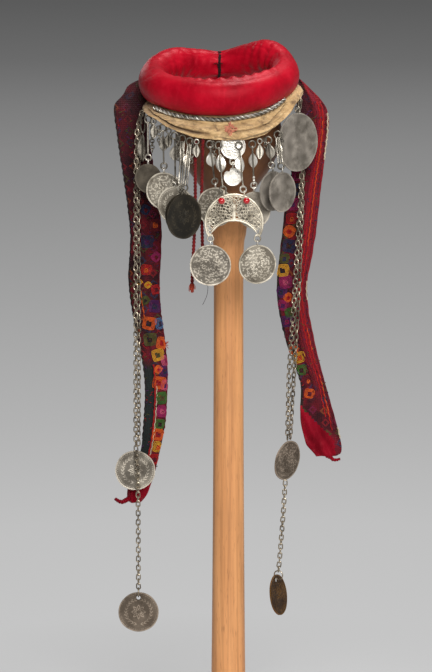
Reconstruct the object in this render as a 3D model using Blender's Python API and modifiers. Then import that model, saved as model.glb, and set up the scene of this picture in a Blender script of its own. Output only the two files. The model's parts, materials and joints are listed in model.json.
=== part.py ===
"""Bridal headdress: a padded satin ring with a cloth band, coin fringe, crescent
pendant, side chains and embroidered streamers, on its turned wooden stand."""

import math
from collections import namedtuple

import bmesh
import bpy
from mathutils import Matrix, Vector

MM = 0.001
GAP = 0.4 * MM

# Stand
HEAD_TOP = 730.6 * MM
STAND_STEPS = 24

# Padded ring
RING_CENTRE = Vector((-10 * MM, 0, 741 * MM))
RING_HALF_WIDTH = 71.4 * MM
RING_HALF_DEPTH = 68 * MM
RING_TILT = math.radians(13)
RING_SECTIONS = 36
ROLL_SIDES = 12

# Cloth band under the ring
BAND_WALL = 2 * MM
BAND_SECTIONS = 40
LIP_SLANT_REACH = 3.5 * MM

TIE_WALL = 1.4 * MM
TIE_GAP = 0.9 * MM
TIE_HALF_TURN = 2
BRAID_RADIUS = 2.6 * MM
BRAID_HALF_ANGLE = 58

# Streamers
STREAMER_WALL = 1.6 * MM
STREAMER_ANGLE = 114
STREAMER_TIE_RADIUS = 1.3 * MM

# Metalwork
COIN_WALL = 1.5 * MM
LARGE_COIN_WALL = 1.7 * MM
END_COIN_WALL = 1.6 * MM
COIN_SIDES = 16
LARGE_COIN_SIDES = 20
LINK_WIRE = 0.7 * MM
BAIL_RADIUS = 2.6 * MM
CARRIER_RADIUS = 3.3 * MM
UPPER_LINK_HALF = 4.6 * MM
LEAF_WIDTH = 10 * MM
LEAF_WALL = 1.0 * MM
LEAF_RIB = 0.3 * MM
OVERLAP = 0.3 * MM
LINK_FLAT = math.cos(math.pi / 10)

# Chains and the coins at their ends
CHAIN_RADIUS = 2.4 * MM
END_LINK_RADIUS = 5 * MM
END_HOLE_HEIGHT = 16.4 * MM
END_HOLE_RADIUS = 2.3 * MM
END_LINK_SEAT = 1.6 * MM

# Side disc
SIDE_DISC_CENTRE = Vector((74.5 * MM, -31.8 * MM, 677.7 * MM))
SIDE_DISC_RADIUS = 32 * MM
SIDE_DISC_WALL = 1.4 * MM
SIDE_DISC_SIDES = 22
SIDE_DISC_YAW = math.radians(47)

# Centre coin and plate
CENTRE_COIN_CENTRE = Vector((4.2 * MM, -70.6 * MM, 675.6 * MM))
CENTRE_COIN_RADIUS = 13.5 * MM
CENTRE_WALL = 1.4 * MM
CENTRE_PLATE_RADIUS = 9.8 * MM
SHOULDER_RADIUS = 5 * MM
SHOULDER_X = 6 * MM
SHOULDER_RISE = 8 * MM

# Crescent pendant
CRESCENT_CENTRE = Vector((5.3 * MM, -86 * MM, 595.3 * MM))
CRESCENT_RADIUS = 31.6 * MM
CRESCENT_INNER_RADIUS = 27.4 * MM
CRESCENT_INNER_DROP = 25.7 * MM
CRESCENT_CUT = 14 * MM
CRESCENT_WALL = 1.4 * MM
CRESCENT_RIM_WALL = 2.6 * MM
CRESCENT_RIM_WIDTH = 2.8 * MM
CRESCENT_SIDES = 26
CRESCENT_LOOP_SPREAD = 10.7 * MM
HORN_SPREAD = 25 * MM
PIERCING_RADIUS = 1.55 * MM
BOSS_RADIUS = 3.2 * MM
BOSS_WALL = 2.8 * MM
BOSS_HEIGHT = 22.5 * MM
STEM_SIZE = (2 * MM, 2.2 * MM, 20 * MM)
STEM_HEIGHT = 12 * MM
BEAD_RADIUS = 3.9 * MM
BEAD_X = (-13.3 * MM, 13.1 * MM)
BEAD_HEIGHT = 24 * MM

# The stand's outline, measured from the top of its head or from the floor
HeadPoint = namedtuple("HeadPoint", "radius below_top")
HEAD_OUTLINE = [
    HeadPoint(0, 0),
    HeadPoint(36, 0),
    HeadPoint(44, 4),
    HeadPoint(50, 13),
    HeadPoint(54.5, 27),
    HeadPoint(58, 44),
    HeadPoint(56, 62),
    HeadPoint(44, 86),
    HeadPoint(27, 112),
    HeadPoint(19.5, 152),
    HeadPoint(16.2, 228),
]
FootPoint = namedtuple("FootPoint", "radius height")
FOOT_OUTLINE = [
    FootPoint(19.5, 42),
    FootPoint(25.5, 26),
    FootPoint(92, 22),
    FootPoint(100, 16),
    FootPoint(100, 0),
    FootPoint(0, 0),
]

RollSection = namedtuple("RollSection", "angle half_width half_height lift")
ROLL = [
    RollSection(-180, 11.5, 15.0, 1.0),
    RollSection(-162, 15.0, 18.5, 2.0),
    RollSection(-135, 16.5, 20.5, 5.0),
    RollSection(-90, 16.0, 19.5, 1.0),
    RollSection(-45, 15.0, 19.0, 0.0),
    RollSection(0, 15.0, 19.5, 0.0),
    RollSection(45, 15.0, 19.0, 1.0),
    RollSection(90, 16.0, 19.5, 0.0),
    RollSection(135, 17.5, 21.0, 8.0),
    RollSection(162, 15.5, 19.5, 4.0),
    RollSection(180, 11.5, 15.0, 1.0),
]

BandSection = namedtuple("BandSection", "angle low reach")
BAND = [
    BandSection(-180, 733, 4),
    BandSection(-135, 726, 5),
    BandSection(-90, 712, 13),
    BandSection(-75, 710, 13),
    BandSection(-60, 706, 13),
    BandSection(-45, 699, 13),
    BandSection(-30, 689, 13),
    BandSection(-15, 684, 12),
    BandSection(0, 682.5, 12),
    BandSection(15, 681.5, 12),
    BandSection(30, 684, 13),
    BandSection(45, 692, 13),
    BandSection(60, 702, 13),
    BandSection(75, 709, 13),
    BandSection(90, 713, 13),
    BandSection(135, 726, 5),
    BandSection(180, 733, 4),
]

StreamerRow = namedtuple("StreamerRow", "outer_x outer_z inner_x inner_z depth")
LEFT_STREAMER = [
    StreamerRow(-112, 735, -97, 706, 22),
    StreamerRow(-122, 725, -95, 702, 18),
    StreamerRow(-126, 709, -94, 698, 15),
    StreamerRow(-126, 688, -93.5, 686, 14),
    StreamerRow(-122.5, 662, -90.5, 662, 14),
    StreamerRow(-118, 633, -84, 633, 15),
    StreamerRow(-113.5, 594, -75, 594, 16),
    StreamerRow(-108.5, 556, -76, 556, 14),
    StreamerRow(-110, 522, -77, 522, 13),
    StreamerRow(-109.8, 498, -75.6, 498, 15),
    StreamerRow(-104.5, 465, -71, 465, 17),
    StreamerRow(-97, 430, -66.5, 430, 15),
    StreamerRow(-94.3, 397, -67, 397, 13),
    StreamerRow(-96.3, 369, -68.6, 369, 12),
    StreamerRow(-97.6, 344, -72.7, 344, 12),
    StreamerRow(-101, 322, -78, 322, 13),
    StreamerRow(-109, 303, -82, 303, 13),
    StreamerRow(-115.5, 288, -87, 290, 12),
    StreamerRow(-116, 280, -91.5, 280, 11),
    StreamerRow(-111, 273, -97, 273, 11),
]
RIGHT_STREAMER = [
    StreamerRow(91, 738, 78, 706, 22),
    StreamerRow(99, 727, 77, 702, 18),
    StreamerRow(106, 709, 77, 697, 15),
    StreamerRow(108.5, 688, 77, 686, 14),
    StreamerRow(106.5, 657, 74, 657, 14),
    StreamerRow(102, 620, 67.5, 620, 15),
    StreamerRow(99, 588, 64, 588, 16),
    StreamerRow(94, 550, 55.6, 550, 14),
    StreamerRow(87, 522, 51.4, 522, 13),
    StreamerRow(87.7, 500, 50.6, 500, 15),
    StreamerRow(92.3, 471, 57, 471, 17),
    StreamerRow(98.5, 444, 63.2, 444, 16),
    StreamerRow(103.5, 422, 74, 424, 14),
    StreamerRow(112.6, 392, 78.3, 394, 13),
    StreamerRow(121.2, 362, 77.2, 364, 13),
    StreamerRow(126.7, 340, 80, 342, 14),
    StreamerRow(127.3, 331, 85, 333, 14),
    StreamerRow(125.5, 325, 94, 325, 14),
]
FoldPoint = namedtuple("FoldPoint", "across depth")
LEFT_FOLD = [
    FoldPoint(0.80, 5.0),
    FoldPoint(0.38, 4.4),
    FoldPoint(0.0, 0.6),
    FoldPoint(0.30, -2.6),
    FoldPoint(0.68, -3.2),
    FoldPoint(1.0, -0.8),
]
RIGHT_FOLD = [
    FoldPoint(0.08, -2.4),
    FoldPoint(0.52, -3.2),
    FoldPoint(1.0, 0.2),
    FoldPoint(0.5, 4.4),
    FoldPoint(0.0, 3.4),
]

# Coins of the fringe: where each hangs, and the angle round the band of its hanger
FringeCoin = namedtuple("FringeCoin", "name x y z diameter yaw hanger_angle")
FRINGE = [
    FringeCoin("a", -87.0, -27, 637.8, 32, -25, -66),
    FringeCoin("b", -69.7, -45, 625.9, 40, -15, -46.5),
    FringeCoin("c", -57.1, -58, 611.9, 40, -15, -34.5),
    FringeCoin("d", -47.8, -81, 601.6, 48, 41, -22),
    FringeCoin("e", -51.5, -78, 604, 42, 41, -28),
    FringeCoin("f", -14.4, -66, 610.5, 42, -20, -8),
    FringeCoin("g", 26.9, -58, 606.5, 40, 25, 24),
    FringeCoin("h", 57.2, -60, 625.9, 43, 48, 45.5),
    FringeCoin("i", 47.2, -54, 626.5, 43, 48, 36.5),
]
DARK_COINS = ("d", "e")

Dangle = namedtuple("Dangle", "angle drop width height yaw")
DANGLES = [
    Dangle(-80, 26, 11, 30, 0),
    Dangle(-57, 5, 8, 17, 20),
    Dangle(-40, 4, 8, 16, -10),
    Dangle(-17, 4, 9, 15, 10),
    Dangle(30.5, 5, 8, 18, 25),
]

# Route of each chain below its first point, which hangs from the band
RoutePoint = namedtuple("RoutePoint", "x y z")
LEFT_CHAIN_FRONT = [
    RoutePoint(-99.5, -9, 690),
    RoutePoint(-101, -9.5, 640),
    RoutePoint(-101.5, -9.5, 560),
    RoutePoint(-101.8, -9.5, 450),
    RoutePoint(-102.2, -9.5, 341),
]
LEFT_CHAIN_BACK = [
    RoutePoint(-96, -2.6, 690),
    RoutePoint(-97, -3, 640),
    RoutePoint(-97.2, -3, 560),
    RoutePoint(-97.4, -3.2, 450),
    RoutePoint(-98, -4.6, 341),
]
RIGHT_CHAIN_FRONT = [
    RoutePoint(78, -8.4, 690),
    RoutePoint(79.6, -8.4, 643),
    RoutePoint(77, -8.6, 597),
    RoutePoint(71.5, -9, 500),
    RoutePoint(66.3, -9.2, 420),
    RoutePoint(65, -8.8, 348),
]
RIGHT_CHAIN_BACK = [
    RoutePoint(80, -2, 690),
    RoutePoint(81, -2.4, 643),
    RoutePoint(80, -2.6, 597),
    RoutePoint(76.5, -3, 500),
    RoutePoint(72, -3.4, 420),
    RoutePoint(68.2, -3.6, 348),
]
LEFT_CHAIN_LOWER = [
    RoutePoint(-102.2, -9.5, 340.4),
    RoutePoint(-100.8, -9.5, 318),
    RoutePoint(-100, -9.2, 290),
    RoutePoint(-100, -8.5, 240),
]
RIGHT_CHAIN_LOWER = [
    RoutePoint(62.9, -6.2, 301),
    RoutePoint(60.5, -6, 262),
    RoutePoint(57.6, -6, 222),
]

# Route of each strand of the red cord
LONG_CORD = [
    RoutePoint(-36, -70.5, 682),
    RoutePoint(-36, -67.5, 664),
    RoutePoint(-36, -63, 640),
    RoutePoint(-36, -61, 612),
    RoutePoint(-37, -63, 582),
    RoutePoint(-38.4, -65, 553),
    RoutePoint(-39.5, -66, 527),
]
SHORT_CORD = [
    RoutePoint(-27.8, -74.2, 683),
    RoutePoint(-28.4, -66, 662),
    RoutePoint(-29, -55, 638),
    RoutePoint(-29.3, -53, 608),
    RoutePoint(-28.6, -55, 580),
    RoutePoint(-28.2, -57, 552),
]
CORD_RADIUS = 1.6 * MM
CORD_STEP = 9.4 * MM

LEFT_TIE = [
    RoutePoint(-114.6, 11, 275.6),
    RoutePoint(-118, 10, 274),
    RoutePoint(-122, 10, 275),
    RoutePoint(-126, 11, 277.5),
]
RIGHT_TIE = [
    RoutePoint(114, 13, 323.6),
    RoutePoint(116, 13, 321.6),
    RoutePoint(120, 13, 321),
    RoutePoint(124, 14, 322),
]

ChainCoin = namedtuple("ChainCoin", "name x y z diameter yaw material")
CHAIN_COINS = [
    ChainCoin("chain_coin_left", -103.1, -5.6, 312.8, 44.4, 0, "silver"),
    ChainCoin("chain_coin_right", 65, -6, 324, 44.8, 52, "brown_silver"),
]
EndCoin = namedtuple("EndCoin", "name chain x y z diameter yaw material")
LEFT_END = EndCoin("end_coin_left", "chain_left_lower", -100, -8, 153, 45, 0, "silver")
RIGHT_END = EndCoin(
    "end_coin_right", "chain_right_lower", 55.6, -6, 172.1, 45.4, 67, "brown_silver"
)
DropCoin = namedtuple("DropCoin", "name side diameter yaw")
DROP_COINS = [DropCoin("drop_coin_left", -1, 44, 0), DropCoin("drop_coin_right", 1, 42, 18)]

# Arcs of piercings in the crescent: radius, degrees between them, degrees reached
Piercings = namedtuple("Piercings", "radius step reach")
FILIGREE = [
    Piercings(25.6, 13, 98),
    Piercings(20.6, 17, 86),
    Piercings(15.6, 23, 70),
    Piercings(10.4, 40, 42),
]


# Scene and materials


def clear_scene():
    for obj in list(bpy.data.objects):
        bpy.data.objects.remove(obj, do_unlink=True)


def new_collection(name):
    collection = bpy.data.collections.new(name)
    bpy.context.scene.collection.children.link(collection)
    return collection


def new_material(name, colour, roughness, metallic=0.0):
    material = bpy.data.materials.new(name)
    material.use_nodes = True
    shader = material.node_tree.nodes["Principled BSDF"]
    shader.inputs["Base Color"].default_value = (*colour, 1)
    shader.inputs["Roughness"].default_value = roughness
    shader.inputs["Metallic"].default_value = metallic
    material.diffuse_color = (*colour, 1)
    return material


clear_scene()
PARTS = new_collection("bridal_headdress")
WOOD = new_material("wood", (0.45, 0.24, 0.11), 0.5)
SATIN = new_material("crimson_satin", (0.45, 0.01, 0.03), 0.35)
BRAID = new_material("silver_braid", (0.35, 0.34, 0.30), 0.5, 0.6)
LINEN = new_material("cream_cloth", (0.55, 0.38, 0.21), 0.9)
EMBROIDERY = new_material("embroidered_cloth", (0.22, 0.02, 0.03), 0.85)
RED_THREAD = new_material("red_cord", (0.30, 0.02, 0.02), 0.8)
DARK_THREAD = new_material("dark_cord", (0.05, 0.03, 0.03), 0.8)
SILVER = new_material("silver", (0.55, 0.52, 0.47), 0.4, 1.0)
DARK_SILVER = new_material("dark_silver", (0.08, 0.075, 0.065), 0.5, 1.0)
BROWN_SILVER = new_material("brown_silver", (0.22, 0.18, 0.13), 0.5, 1.0)
GLASS = new_material("red_glass", (0.5, 0.0, 0.01), 0.1)


# Objects from meshes, curves and primitives


def add_object(name, mesh, material):
    obj = bpy.data.objects.new(name, mesh)
    mesh.materials.clear()
    mesh.materials.append(material)
    PARTS.objects.link(obj)
    return obj


def adopt_primitive(name, material):
    """Names the primitive just added and moves it to the part's collection."""
    obj = bpy.context.object
    obj.name = name
    for collection in list(obj.users_collection):
        collection.objects.unlink(obj)
    PARTS.objects.link(obj)
    obj.data.materials.clear()
    obj.data.materials.append(material)
    return obj


def evaluated_mesh(obj):
    bpy.context.view_layer.update()
    graph = bpy.context.evaluated_depsgraph_get()
    return bpy.data.meshes.new_from_object(obj.evaluated_get(graph))


def fuse(name, pieces, material, cutters=()):
    """One closed body from overlapping pieces, less the cutters."""
    base = pieces[0]
    for operation, others in (("UNION", pieces[1:]), ("DIFFERENCE", cutters)):
        for other in others:
            modifier = base.modifiers.new(operation.lower(), "BOOLEAN")
            modifier.operation = operation
            modifier.solver = "EXACT"
            modifier.object = other
    mesh = evaluated_mesh(base)
    matrix = base.matrix_world.copy()
    for obj in [*pieces, *cutters]:
        bpy.data.objects.remove(obj, do_unlink=True)
    fused = add_object(name, mesh, material)
    fused.matrix_world = matrix
    return fused


def smooth(obj, angle=40):
    obj.data.shade_smooth()
    obj.data.set_sharp_from_angle(angle=math.radians(angle))
    return obj


def loft(name, rings, material, wrap=False):
    """Skin over equal rings of points, closed on itself or with flat ends."""
    mesh = bpy.data.meshes.new(name)
    bm = bmesh.new()
    rows = [[bm.verts.new(point) for point in ring] for ring in rings]
    pairs = list(zip(rows, rows[1:]))
    if wrap:
        pairs.append((rows[-1], rows[0]))
    for first, second in pairs:
        for i in range(len(first)):
            j = (i + 1) % len(first)
            bm.faces.new((first[i], first[j], second[j], second[i]))
    if not wrap:
        bm.faces.new(rows[0])
        bm.faces.new(rows[-1])
    bmesh.ops.recalc_face_normals(bm, faces=bm.faces)
    bm.to_mesh(mesh)
    bm.free()
    return add_object(name, mesh, material)


def sheet(name, rows, wall, material, wrap=False):
    """Open grid of points thickened to a cloth wall."""
    mesh = bpy.data.meshes.new(name)
    bm = bmesh.new()
    grid = [[bm.verts.new(point) for point in row] for row in rows]
    pairs = list(zip(grid, grid[1:]))
    if wrap:
        pairs.append((grid[-1], grid[0]))
    for first, second in pairs:
        for i in range(len(first) - 1):
            bm.faces.new((first[i], first[i + 1], second[i + 1], second[i]))
    bmesh.ops.recalc_face_normals(bm, faces=bm.faces)
    bm.to_mesh(mesh)
    bm.free()
    obj = add_object(name, mesh, material)
    solidify = obj.modifiers.new("wall", "SOLIDIFY")
    solidify.thickness = wall
    solidify.offset = 0
    return obj


def tube(name, points, radius, material, bevel_resolution=2):
    curve = bpy.data.curves.new(name, "CURVE")
    curve.dimensions = "3D"
    curve.bevel_depth = radius
    curve.bevel_resolution = bevel_resolution
    curve.use_fill_caps = True
    spline = curve.splines.new("POLY")
    spline.points.add(len(points) - 1)
    for target, point in zip(spline.points, points):
        target.co = (*point, 1)
    curve.materials.append(material)
    obj = bpy.data.objects.new(name, curve)
    PARTS.objects.link(obj)
    return obj


def as_mesh(obj, material):
    """A curve's tube as a closed mesh object."""
    mesh = evaluated_mesh(obj)
    bm = bmesh.new()
    bm.from_mesh(mesh)
    bmesh.ops.remove_doubles(bm, verts=bm.verts, dist=0.00001)
    bmesh.ops.recalc_face_normals(bm, faces=bm.faces)
    bm.to_mesh(mesh)
    bm.free()
    matrix = obj.matrix_world.copy()
    name = obj.name
    bpy.data.objects.remove(obj, do_unlink=True)
    made = add_object(name, mesh, material)
    made.matrix_world = matrix
    return made


def disc(name, radius, wall, sides, material, centre=(0, 0, 0)):
    """Flat round plate facing the front."""
    bpy.ops.mesh.primitive_cylinder_add(
        vertices=sides,
        radius=radius,
        depth=wall,
        location=centre,
        rotation=(math.pi / 2, 0, 0),
    )
    return adopt_primitive(name, material)


def link(name, radius, wire, material, centre=(0, 0, 0), facing="front", segments=10):
    """Round wire link that faces the front or the side."""
    turn = (math.pi / 2, 0, 0) if facing == "front" else (0, math.pi / 2, 0)
    bpy.ops.mesh.primitive_torus_add(
        major_segments=segments,
        minor_segments=5,
        major_radius=radius,
        minor_radius=wire,
        location=centre,
        rotation=turn,
    )
    return adopt_primitive(name, material)


def leaf(name, width, height, wall, material, centre=(0, 0, 0)):
    """Pointed leaf plate facing the front, thicker along its middle rib."""
    bpy.ops.mesh.primitive_uv_sphere_add(segments=6, ring_count=4, radius=1, location=centre)
    obj = adopt_primitive(name, material)
    obj.scale = (width / 2, wall / 2 + LEAF_RIB, height / 2)
    return obj


def smooth_route(points, step):
    """Points at even steps on a smooth curve through the route's own points."""
    ends = [points[0] * 2 - points[1], *points, points[-1] * 2 - points[-2]]
    dense = []
    for a, b, c, d in zip(ends, ends[1:], ends[2:], ends[3:]):
        for k in range(20):
            t = k / 20
            dense.append(
                0.5
                * (
                    b * 2
                    + (c - a) * t
                    + (a * 2 - b * 5 + c * 4 - d) * t**2
                    + (b * 3 - a - c * 3 + d) * t**3
                )
            )
    dense.append(points[-1])
    lengths = [0]
    for first, second in zip(dense, dense[1:]):
        lengths.append(lengths[-1] + (second - first).length)
    count = max(2, round(lengths[-1] / step))
    route = []
    i = 0
    for n in range(count + 1):
        goal = lengths[-1] * n / count
        while i < len(lengths) - 2 and lengths[i + 1] < goal:
            i += 1
        part = (goal - lengths[i]) / (lengths[i + 1] - lengths[i])
        route.append(dense[i].lerp(dense[i + 1], min(part, 1)))
    return route


def vectors(rows):
    return [Vector((row.x, row.y, row.z)) * MM for row in rows]


# The ring's centre line and surface


def between(rows, angle, column):
    """A column of a table of angles, eased between its rows."""
    for first, second in zip(rows, rows[1:]):
        if first.angle <= angle <= second.angle:
            part = (angle - first.angle) / (second.angle - first.angle)
            part = part * part * (3 - 2 * part)
            low, high = getattr(first, column), getattr(second, column)
            return low + (high - low) * part
    raise ValueError(angle)


def roll_point(angle, around, out=0.0):
    """A point on the padded roll: angle from the front, around its section."""
    turn = math.radians(angle)
    tilt = Matrix.Rotation(RING_TILT, 3, "X")
    lift = between(ROLL, angle, "lift") * MM
    middle = Vector((RING_HALF_WIDTH * math.sin(turn), -RING_HALF_DEPTH * math.cos(turn), lift))
    outward = Vector((math.sin(turn) / RING_HALF_WIDTH, -math.cos(turn) / RING_HALF_DEPTH, 0))
    outward.normalize()
    half_width = between(ROLL, angle, "half_width") * MM
    half_height = between(ROLL, angle, "half_height") * MM
    c, s = math.cos(math.radians(around)), math.sin(math.radians(around))
    normal = Vector((c / half_width, s / half_height)).normalized()
    across = half_width * c + normal.x * out
    up = half_height * s + normal.y * out
    return RING_CENTRE + tilt @ (middle + outward * across + Vector((0, 0, up)))


def band_lip(angle):
    """The middle of the band's lower edge."""
    turn = math.radians(angle)
    reach = between(BAND, angle, "reach") * MM
    depth = RING_HALF_DEPTH * math.cos(RING_TILT)
    return Vector(
        (
            RING_CENTRE.x + (RING_HALF_WIDTH + reach) * math.sin(turn),
            RING_CENTRE.y - (depth + reach) * math.cos(turn),
            between(BAND, angle, "low") * MM,
        )
    )


def band_row(angle):
    """Points across the band, from under the roll down to the lip."""
    clearance = TIE_GAP + TIE_WALL if abs(angle) > 175 else 0
    top = roll_point(angle, -97, BAND_WALL / 2 + GAP + clearance)
    lip = band_lip(angle)
    row = []
    for part, bulge in ((0, 0), (0.35, 1.2), (0.7, 2.4), (1, 0)):
        point = top.lerp(lip, part)
        outward = Vector((point.x - RING_CENTRE.x, point.y, 0)).normalized()
        row.append(point + outward * bulge * MM)
    return row


def hang_point(angle):
    """A small gap under the band's lower edge, where a hanger's link begins."""
    step = 360 / BAND_SECTIONS
    before = math.floor(angle / step) * step
    first, second = band_row(before), band_row(before + step)
    part = (angle - before) / step
    above, lip = (first[i].lerp(second[i], part) for i in (-2, -1))
    run, edge = lip - above, second[-1] - first[-1]
    tilt = math.hypot(run.x, run.y) / run.length * BAND_WALL / 2
    slant = LIP_SLANT_REACH * (edge.length / math.hypot(edge.x, edge.y) - 1)
    return lip - Vector((0, 0, tilt + slant + GAP))


# Stand


def make_stand():
    """Turned post on a round foot, with a rounded head inside the ring."""
    profile = [(row.radius * MM, HEAD_TOP - row.below_top * MM) for row in HEAD_OUTLINE]
    profile += [(row.radius * MM, row.height * MM) for row in FOOT_OUTLINE]
    mesh = bpy.data.meshes.new("stand")
    mesh.from_pydata(
        [(x, 0, z) for x, z in profile], [(i, i + 1) for i in range(len(profile) - 1)], []
    )
    stand = add_object("stand", mesh, WOOD)
    screw = stand.modifiers.new("turning", "SCREW")
    screw.steps = STAND_STEPS
    screw.render_steps = STAND_STEPS
    screw.use_merge_vertices = True
    screw.merge_threshold = 0.0001
    return stand


# Ring, tie, braid and band


def make_ring():
    rings = []
    for i in range(RING_SECTIONS):
        angle = 360 * i / RING_SECTIONS - 180
        rings.append([roll_point(angle, 360 * j / ROLL_SIDES) for j in range(ROLL_SIDES)])
    return smooth(loft("padded_ring", rings, SATIN, wrap=True), 60)


def make_ring_tie():
    """Dark thread wound round the roll at the notch behind."""
    rings = []
    for j in range(ROLL_SIDES):
        around = 360 * j / ROLL_SIDES
        rings.append(
            [
                roll_point(180 - TIE_HALF_TURN, around, TIE_GAP),
                roll_point(180 - TIE_HALF_TURN, around, TIE_GAP + TIE_WALL),
                roll_point(TIE_HALF_TURN - 180, around, TIE_GAP + TIE_WALL),
                roll_point(TIE_HALF_TURN - 180, around, TIE_GAP),
            ]
        )
    return loft("ring_tie", rings, DARK_THREAD, wrap=True)


def make_braid():
    """Silver braid along the seam of ring and band, across the front."""
    points = []
    for i in range(25):
        angle = BRAID_HALF_ANGLE * (i / 12 - 1)
        around = -72 + 20 * abs(angle / BRAID_HALF_ANGLE) ** 3
        points.append(roll_point(angle, around, BRAID_RADIUS + 0.2 * MM))
    return tube("silver_braid", points, BRAID_RADIUS, BRAID)


def make_band():
    rows = [band_row(360 * i / BAND_SECTIONS - 180) for i in range(BAND_SECTIONS)]
    return sheet("forehead_band", rows, BAND_WALL, LINEN, wrap=True)


# Streamers


def make_streamer(name, rows, fold, side):
    """Lengthwise folded strip, sewn to the ring's side and hanging down."""
    start_angle = STREAMER_ANGLE * side
    seat = STREAMER_WALL / 2 + 2.4 * GAP
    grid = []
    top = roll_point(start_angle, 22, seat)
    bottom = roll_point(start_angle, -34, seat)
    outward = Vector((side * 0.6, 0.8, 0))
    first = [top.lerp(bottom, p.across) + outward * (p.depth + 4.2) * MM for p in fold]
    grid.append(first)
    for row in rows:
        outer = Vector((row.outer_x, row.depth, row.outer_z)) * MM
        inner = Vector((row.inner_x, row.depth, row.inner_z)) * MM
        grid.append(
            [outer.lerp(inner, p.across) + Vector((0, p.depth, 0)) * MM for p in fold]
        )
    return sheet(name, grid, STREAMER_WALL, EMBROIDERY)


def make_ties():
    for name, rows in (("streamer_left_tie", LEFT_TIE), ("streamer_right_tie", RIGHT_TIE)):
        tube(name, vectors(rows), STREAMER_TIE_RADIUS, SATIN)


# Chains and cord


def make_chains():
    strands = (
        ("chain_left_front", -84, LEFT_CHAIN_FRONT),
        ("chain_left_back", -92, LEFT_CHAIN_BACK),
        ("chain_right_front", 84, RIGHT_CHAIN_FRONT),
        ("chain_right_back", 92, RIGHT_CHAIN_BACK),
    )
    for name, angle, rows in strands:
        start = hang_point(angle) - Vector((0, 0, 1.4 * GAP))
        tube(name, [start, *vectors(rows)], CHAIN_RADIUS, SILVER)


def turned(centre, yaw):
    """Frame at a place in millimetres, turned about the upright."""
    return Matrix.Translation(Vector(centre) * MM) @ Matrix.Rotation(math.radians(yaw), 4, "Z")


def make_chain_end(row, route):
    """Lower chain, with its last link through the hole of the coin below it."""
    material = bpy.data.materials[row.material]
    frame = turned((row.x, row.y, row.z), row.yaw)
    pin = Vector((0, 0, END_HOLE_HEIGHT + END_HOLE_RADIUS - END_LINK_SEAT))
    centre = pin + Vector((0, 0, END_LINK_RADIUS))
    last = link("last_link", END_LINK_RADIUS, LINK_WIRE, SILVER, centre, "side", 12)
    bpy.context.view_layer.update()
    last.matrix_world = frame @ last.matrix_world
    foot = frame @ (centre + Vector((0, 0, END_LINK_RADIUS)))
    run = as_mesh(tube("run", [*vectors(route), foot], CHAIN_RADIUS, SILVER), SILVER)
    fuse(row.chain, [run, last], SILVER)
    coin = disc("coin", row.diameter * MM / 2, END_COIN_WALL, LARGE_COIN_SIDES, material)
    hole = (0, 0, END_HOLE_HEIGHT)
    bore = disc("bore", END_HOLE_RADIUS, 4 * END_COIN_WALL, 8, material, hole)
    made = fuse(row.name, [coin], material, [bore])
    made.matrix_world = frame @ made.matrix_world


def make_chain_coins():
    for row in CHAIN_COINS:
        material = bpy.data.materials[row.material]
        radius = row.diameter * MM / 2
        coin = disc(row.name, radius, LARGE_COIN_WALL, LARGE_COIN_SIDES, material)
        bpy.context.view_layer.update()
        coin.matrix_world = turned((row.x, row.y, row.z), row.yaw) @ coin.matrix_world


def make_cords():
    for name, rows in (("red_cord_long", LONG_CORD), ("red_cord_short", SHORT_CORD)):
        tube(name, smooth_route(vectors(rows), CORD_STEP), CORD_RADIUS, RED_THREAD)


# Hangers, coins and dangles


def toward(top, pin):
    """Frame at the pin whose upward axis points at the top."""
    turn = Vector((0, 0, 1)).rotation_difference(top - pin)
    return Matrix.Translation(pin) @ turn.to_matrix().to_4x4()


def make_hanger(name, top, pin, segments=10):
    """Oval link, leaf plate and round carrier link, soldered in line."""
    length = (top - pin).length
    low = CARRIER_RADIUS * 2 - OVERLAP
    high = length - UPPER_LINK_HALF * 2 + 2 * OVERLAP
    middle = (0, 0, (high + low) / 2)
    centre = (0, 0, CARRIER_RADIUS)
    upper_centre = (0, 0, length - UPPER_LINK_HALF * LINK_FLAT)
    carrier = link("carrier", CARRIER_RADIUS, LINK_WIRE, SILVER, centre, segments=segments)
    plate = leaf("plate", LEAF_WIDTH, high - low, LEAF_WALL, SILVER, middle)
    upper = link("upper", CARRIER_RADIUS, LINK_WIRE, SILVER, upper_centre)
    upper.scale = (1, UPPER_LINK_HALF / (CARRIER_RADIUS + LINK_WIRE), 1)
    made = fuse(name, [carrier, plate, upper], SILVER)
    made.matrix_world = toward(top, pin) @ made.matrix_world
    return made


def bail_hang():
    """How far a bail's centre lies below the link wire that it hangs on."""
    return BAIL_RADIUS - 2 * LINK_WIRE - 0.3 * MM


def coin_drop(diameter):
    """How far a hung coin's centre lies below its pin."""
    return bail_hang() + BAIL_RADIUS - 0.2 * MM + diameter / 2


def make_hung_coin(name, pin, diameter, yaw, wall, sides, material):
    """Coin soldered to a bail that hangs on the link above it."""
    bail = link("bail", BAIL_RADIUS, LINK_WIRE, material, (0, 0, -bail_hang()), "side")
    coin = disc("coin", diameter / 2, wall, sides, material)
    bpy.context.view_layer.update()
    coin.matrix_world = (
        Matrix.Translation((0, 0, -coin_drop(diameter)))
        @ Matrix.Rotation(math.radians(yaw), 4, "Z")
        @ coin.matrix_world
    )
    made = fuse(name, [coin, bail], material)
    made.matrix_world = Matrix.Translation(pin) @ made.matrix_world
    return made


def make_fringe():
    for row in FRINGE:
        diameter = row.diameter * MM
        pin = Vector((row.x, row.y, row.z)) * MM + Vector((0, 0, coin_drop(diameter)))
        top = hang_point(row.hanger_angle)
        material = DARK_SILVER if row.name in DARK_COINS else SILVER
        make_hanger(f"hanger_{row.name}", top, pin)
        make_hung_coin(
            f"fringe_coin_{row.name}", pin, diameter, row.yaw, COIN_WALL, COIN_SIDES, material
        )


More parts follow.
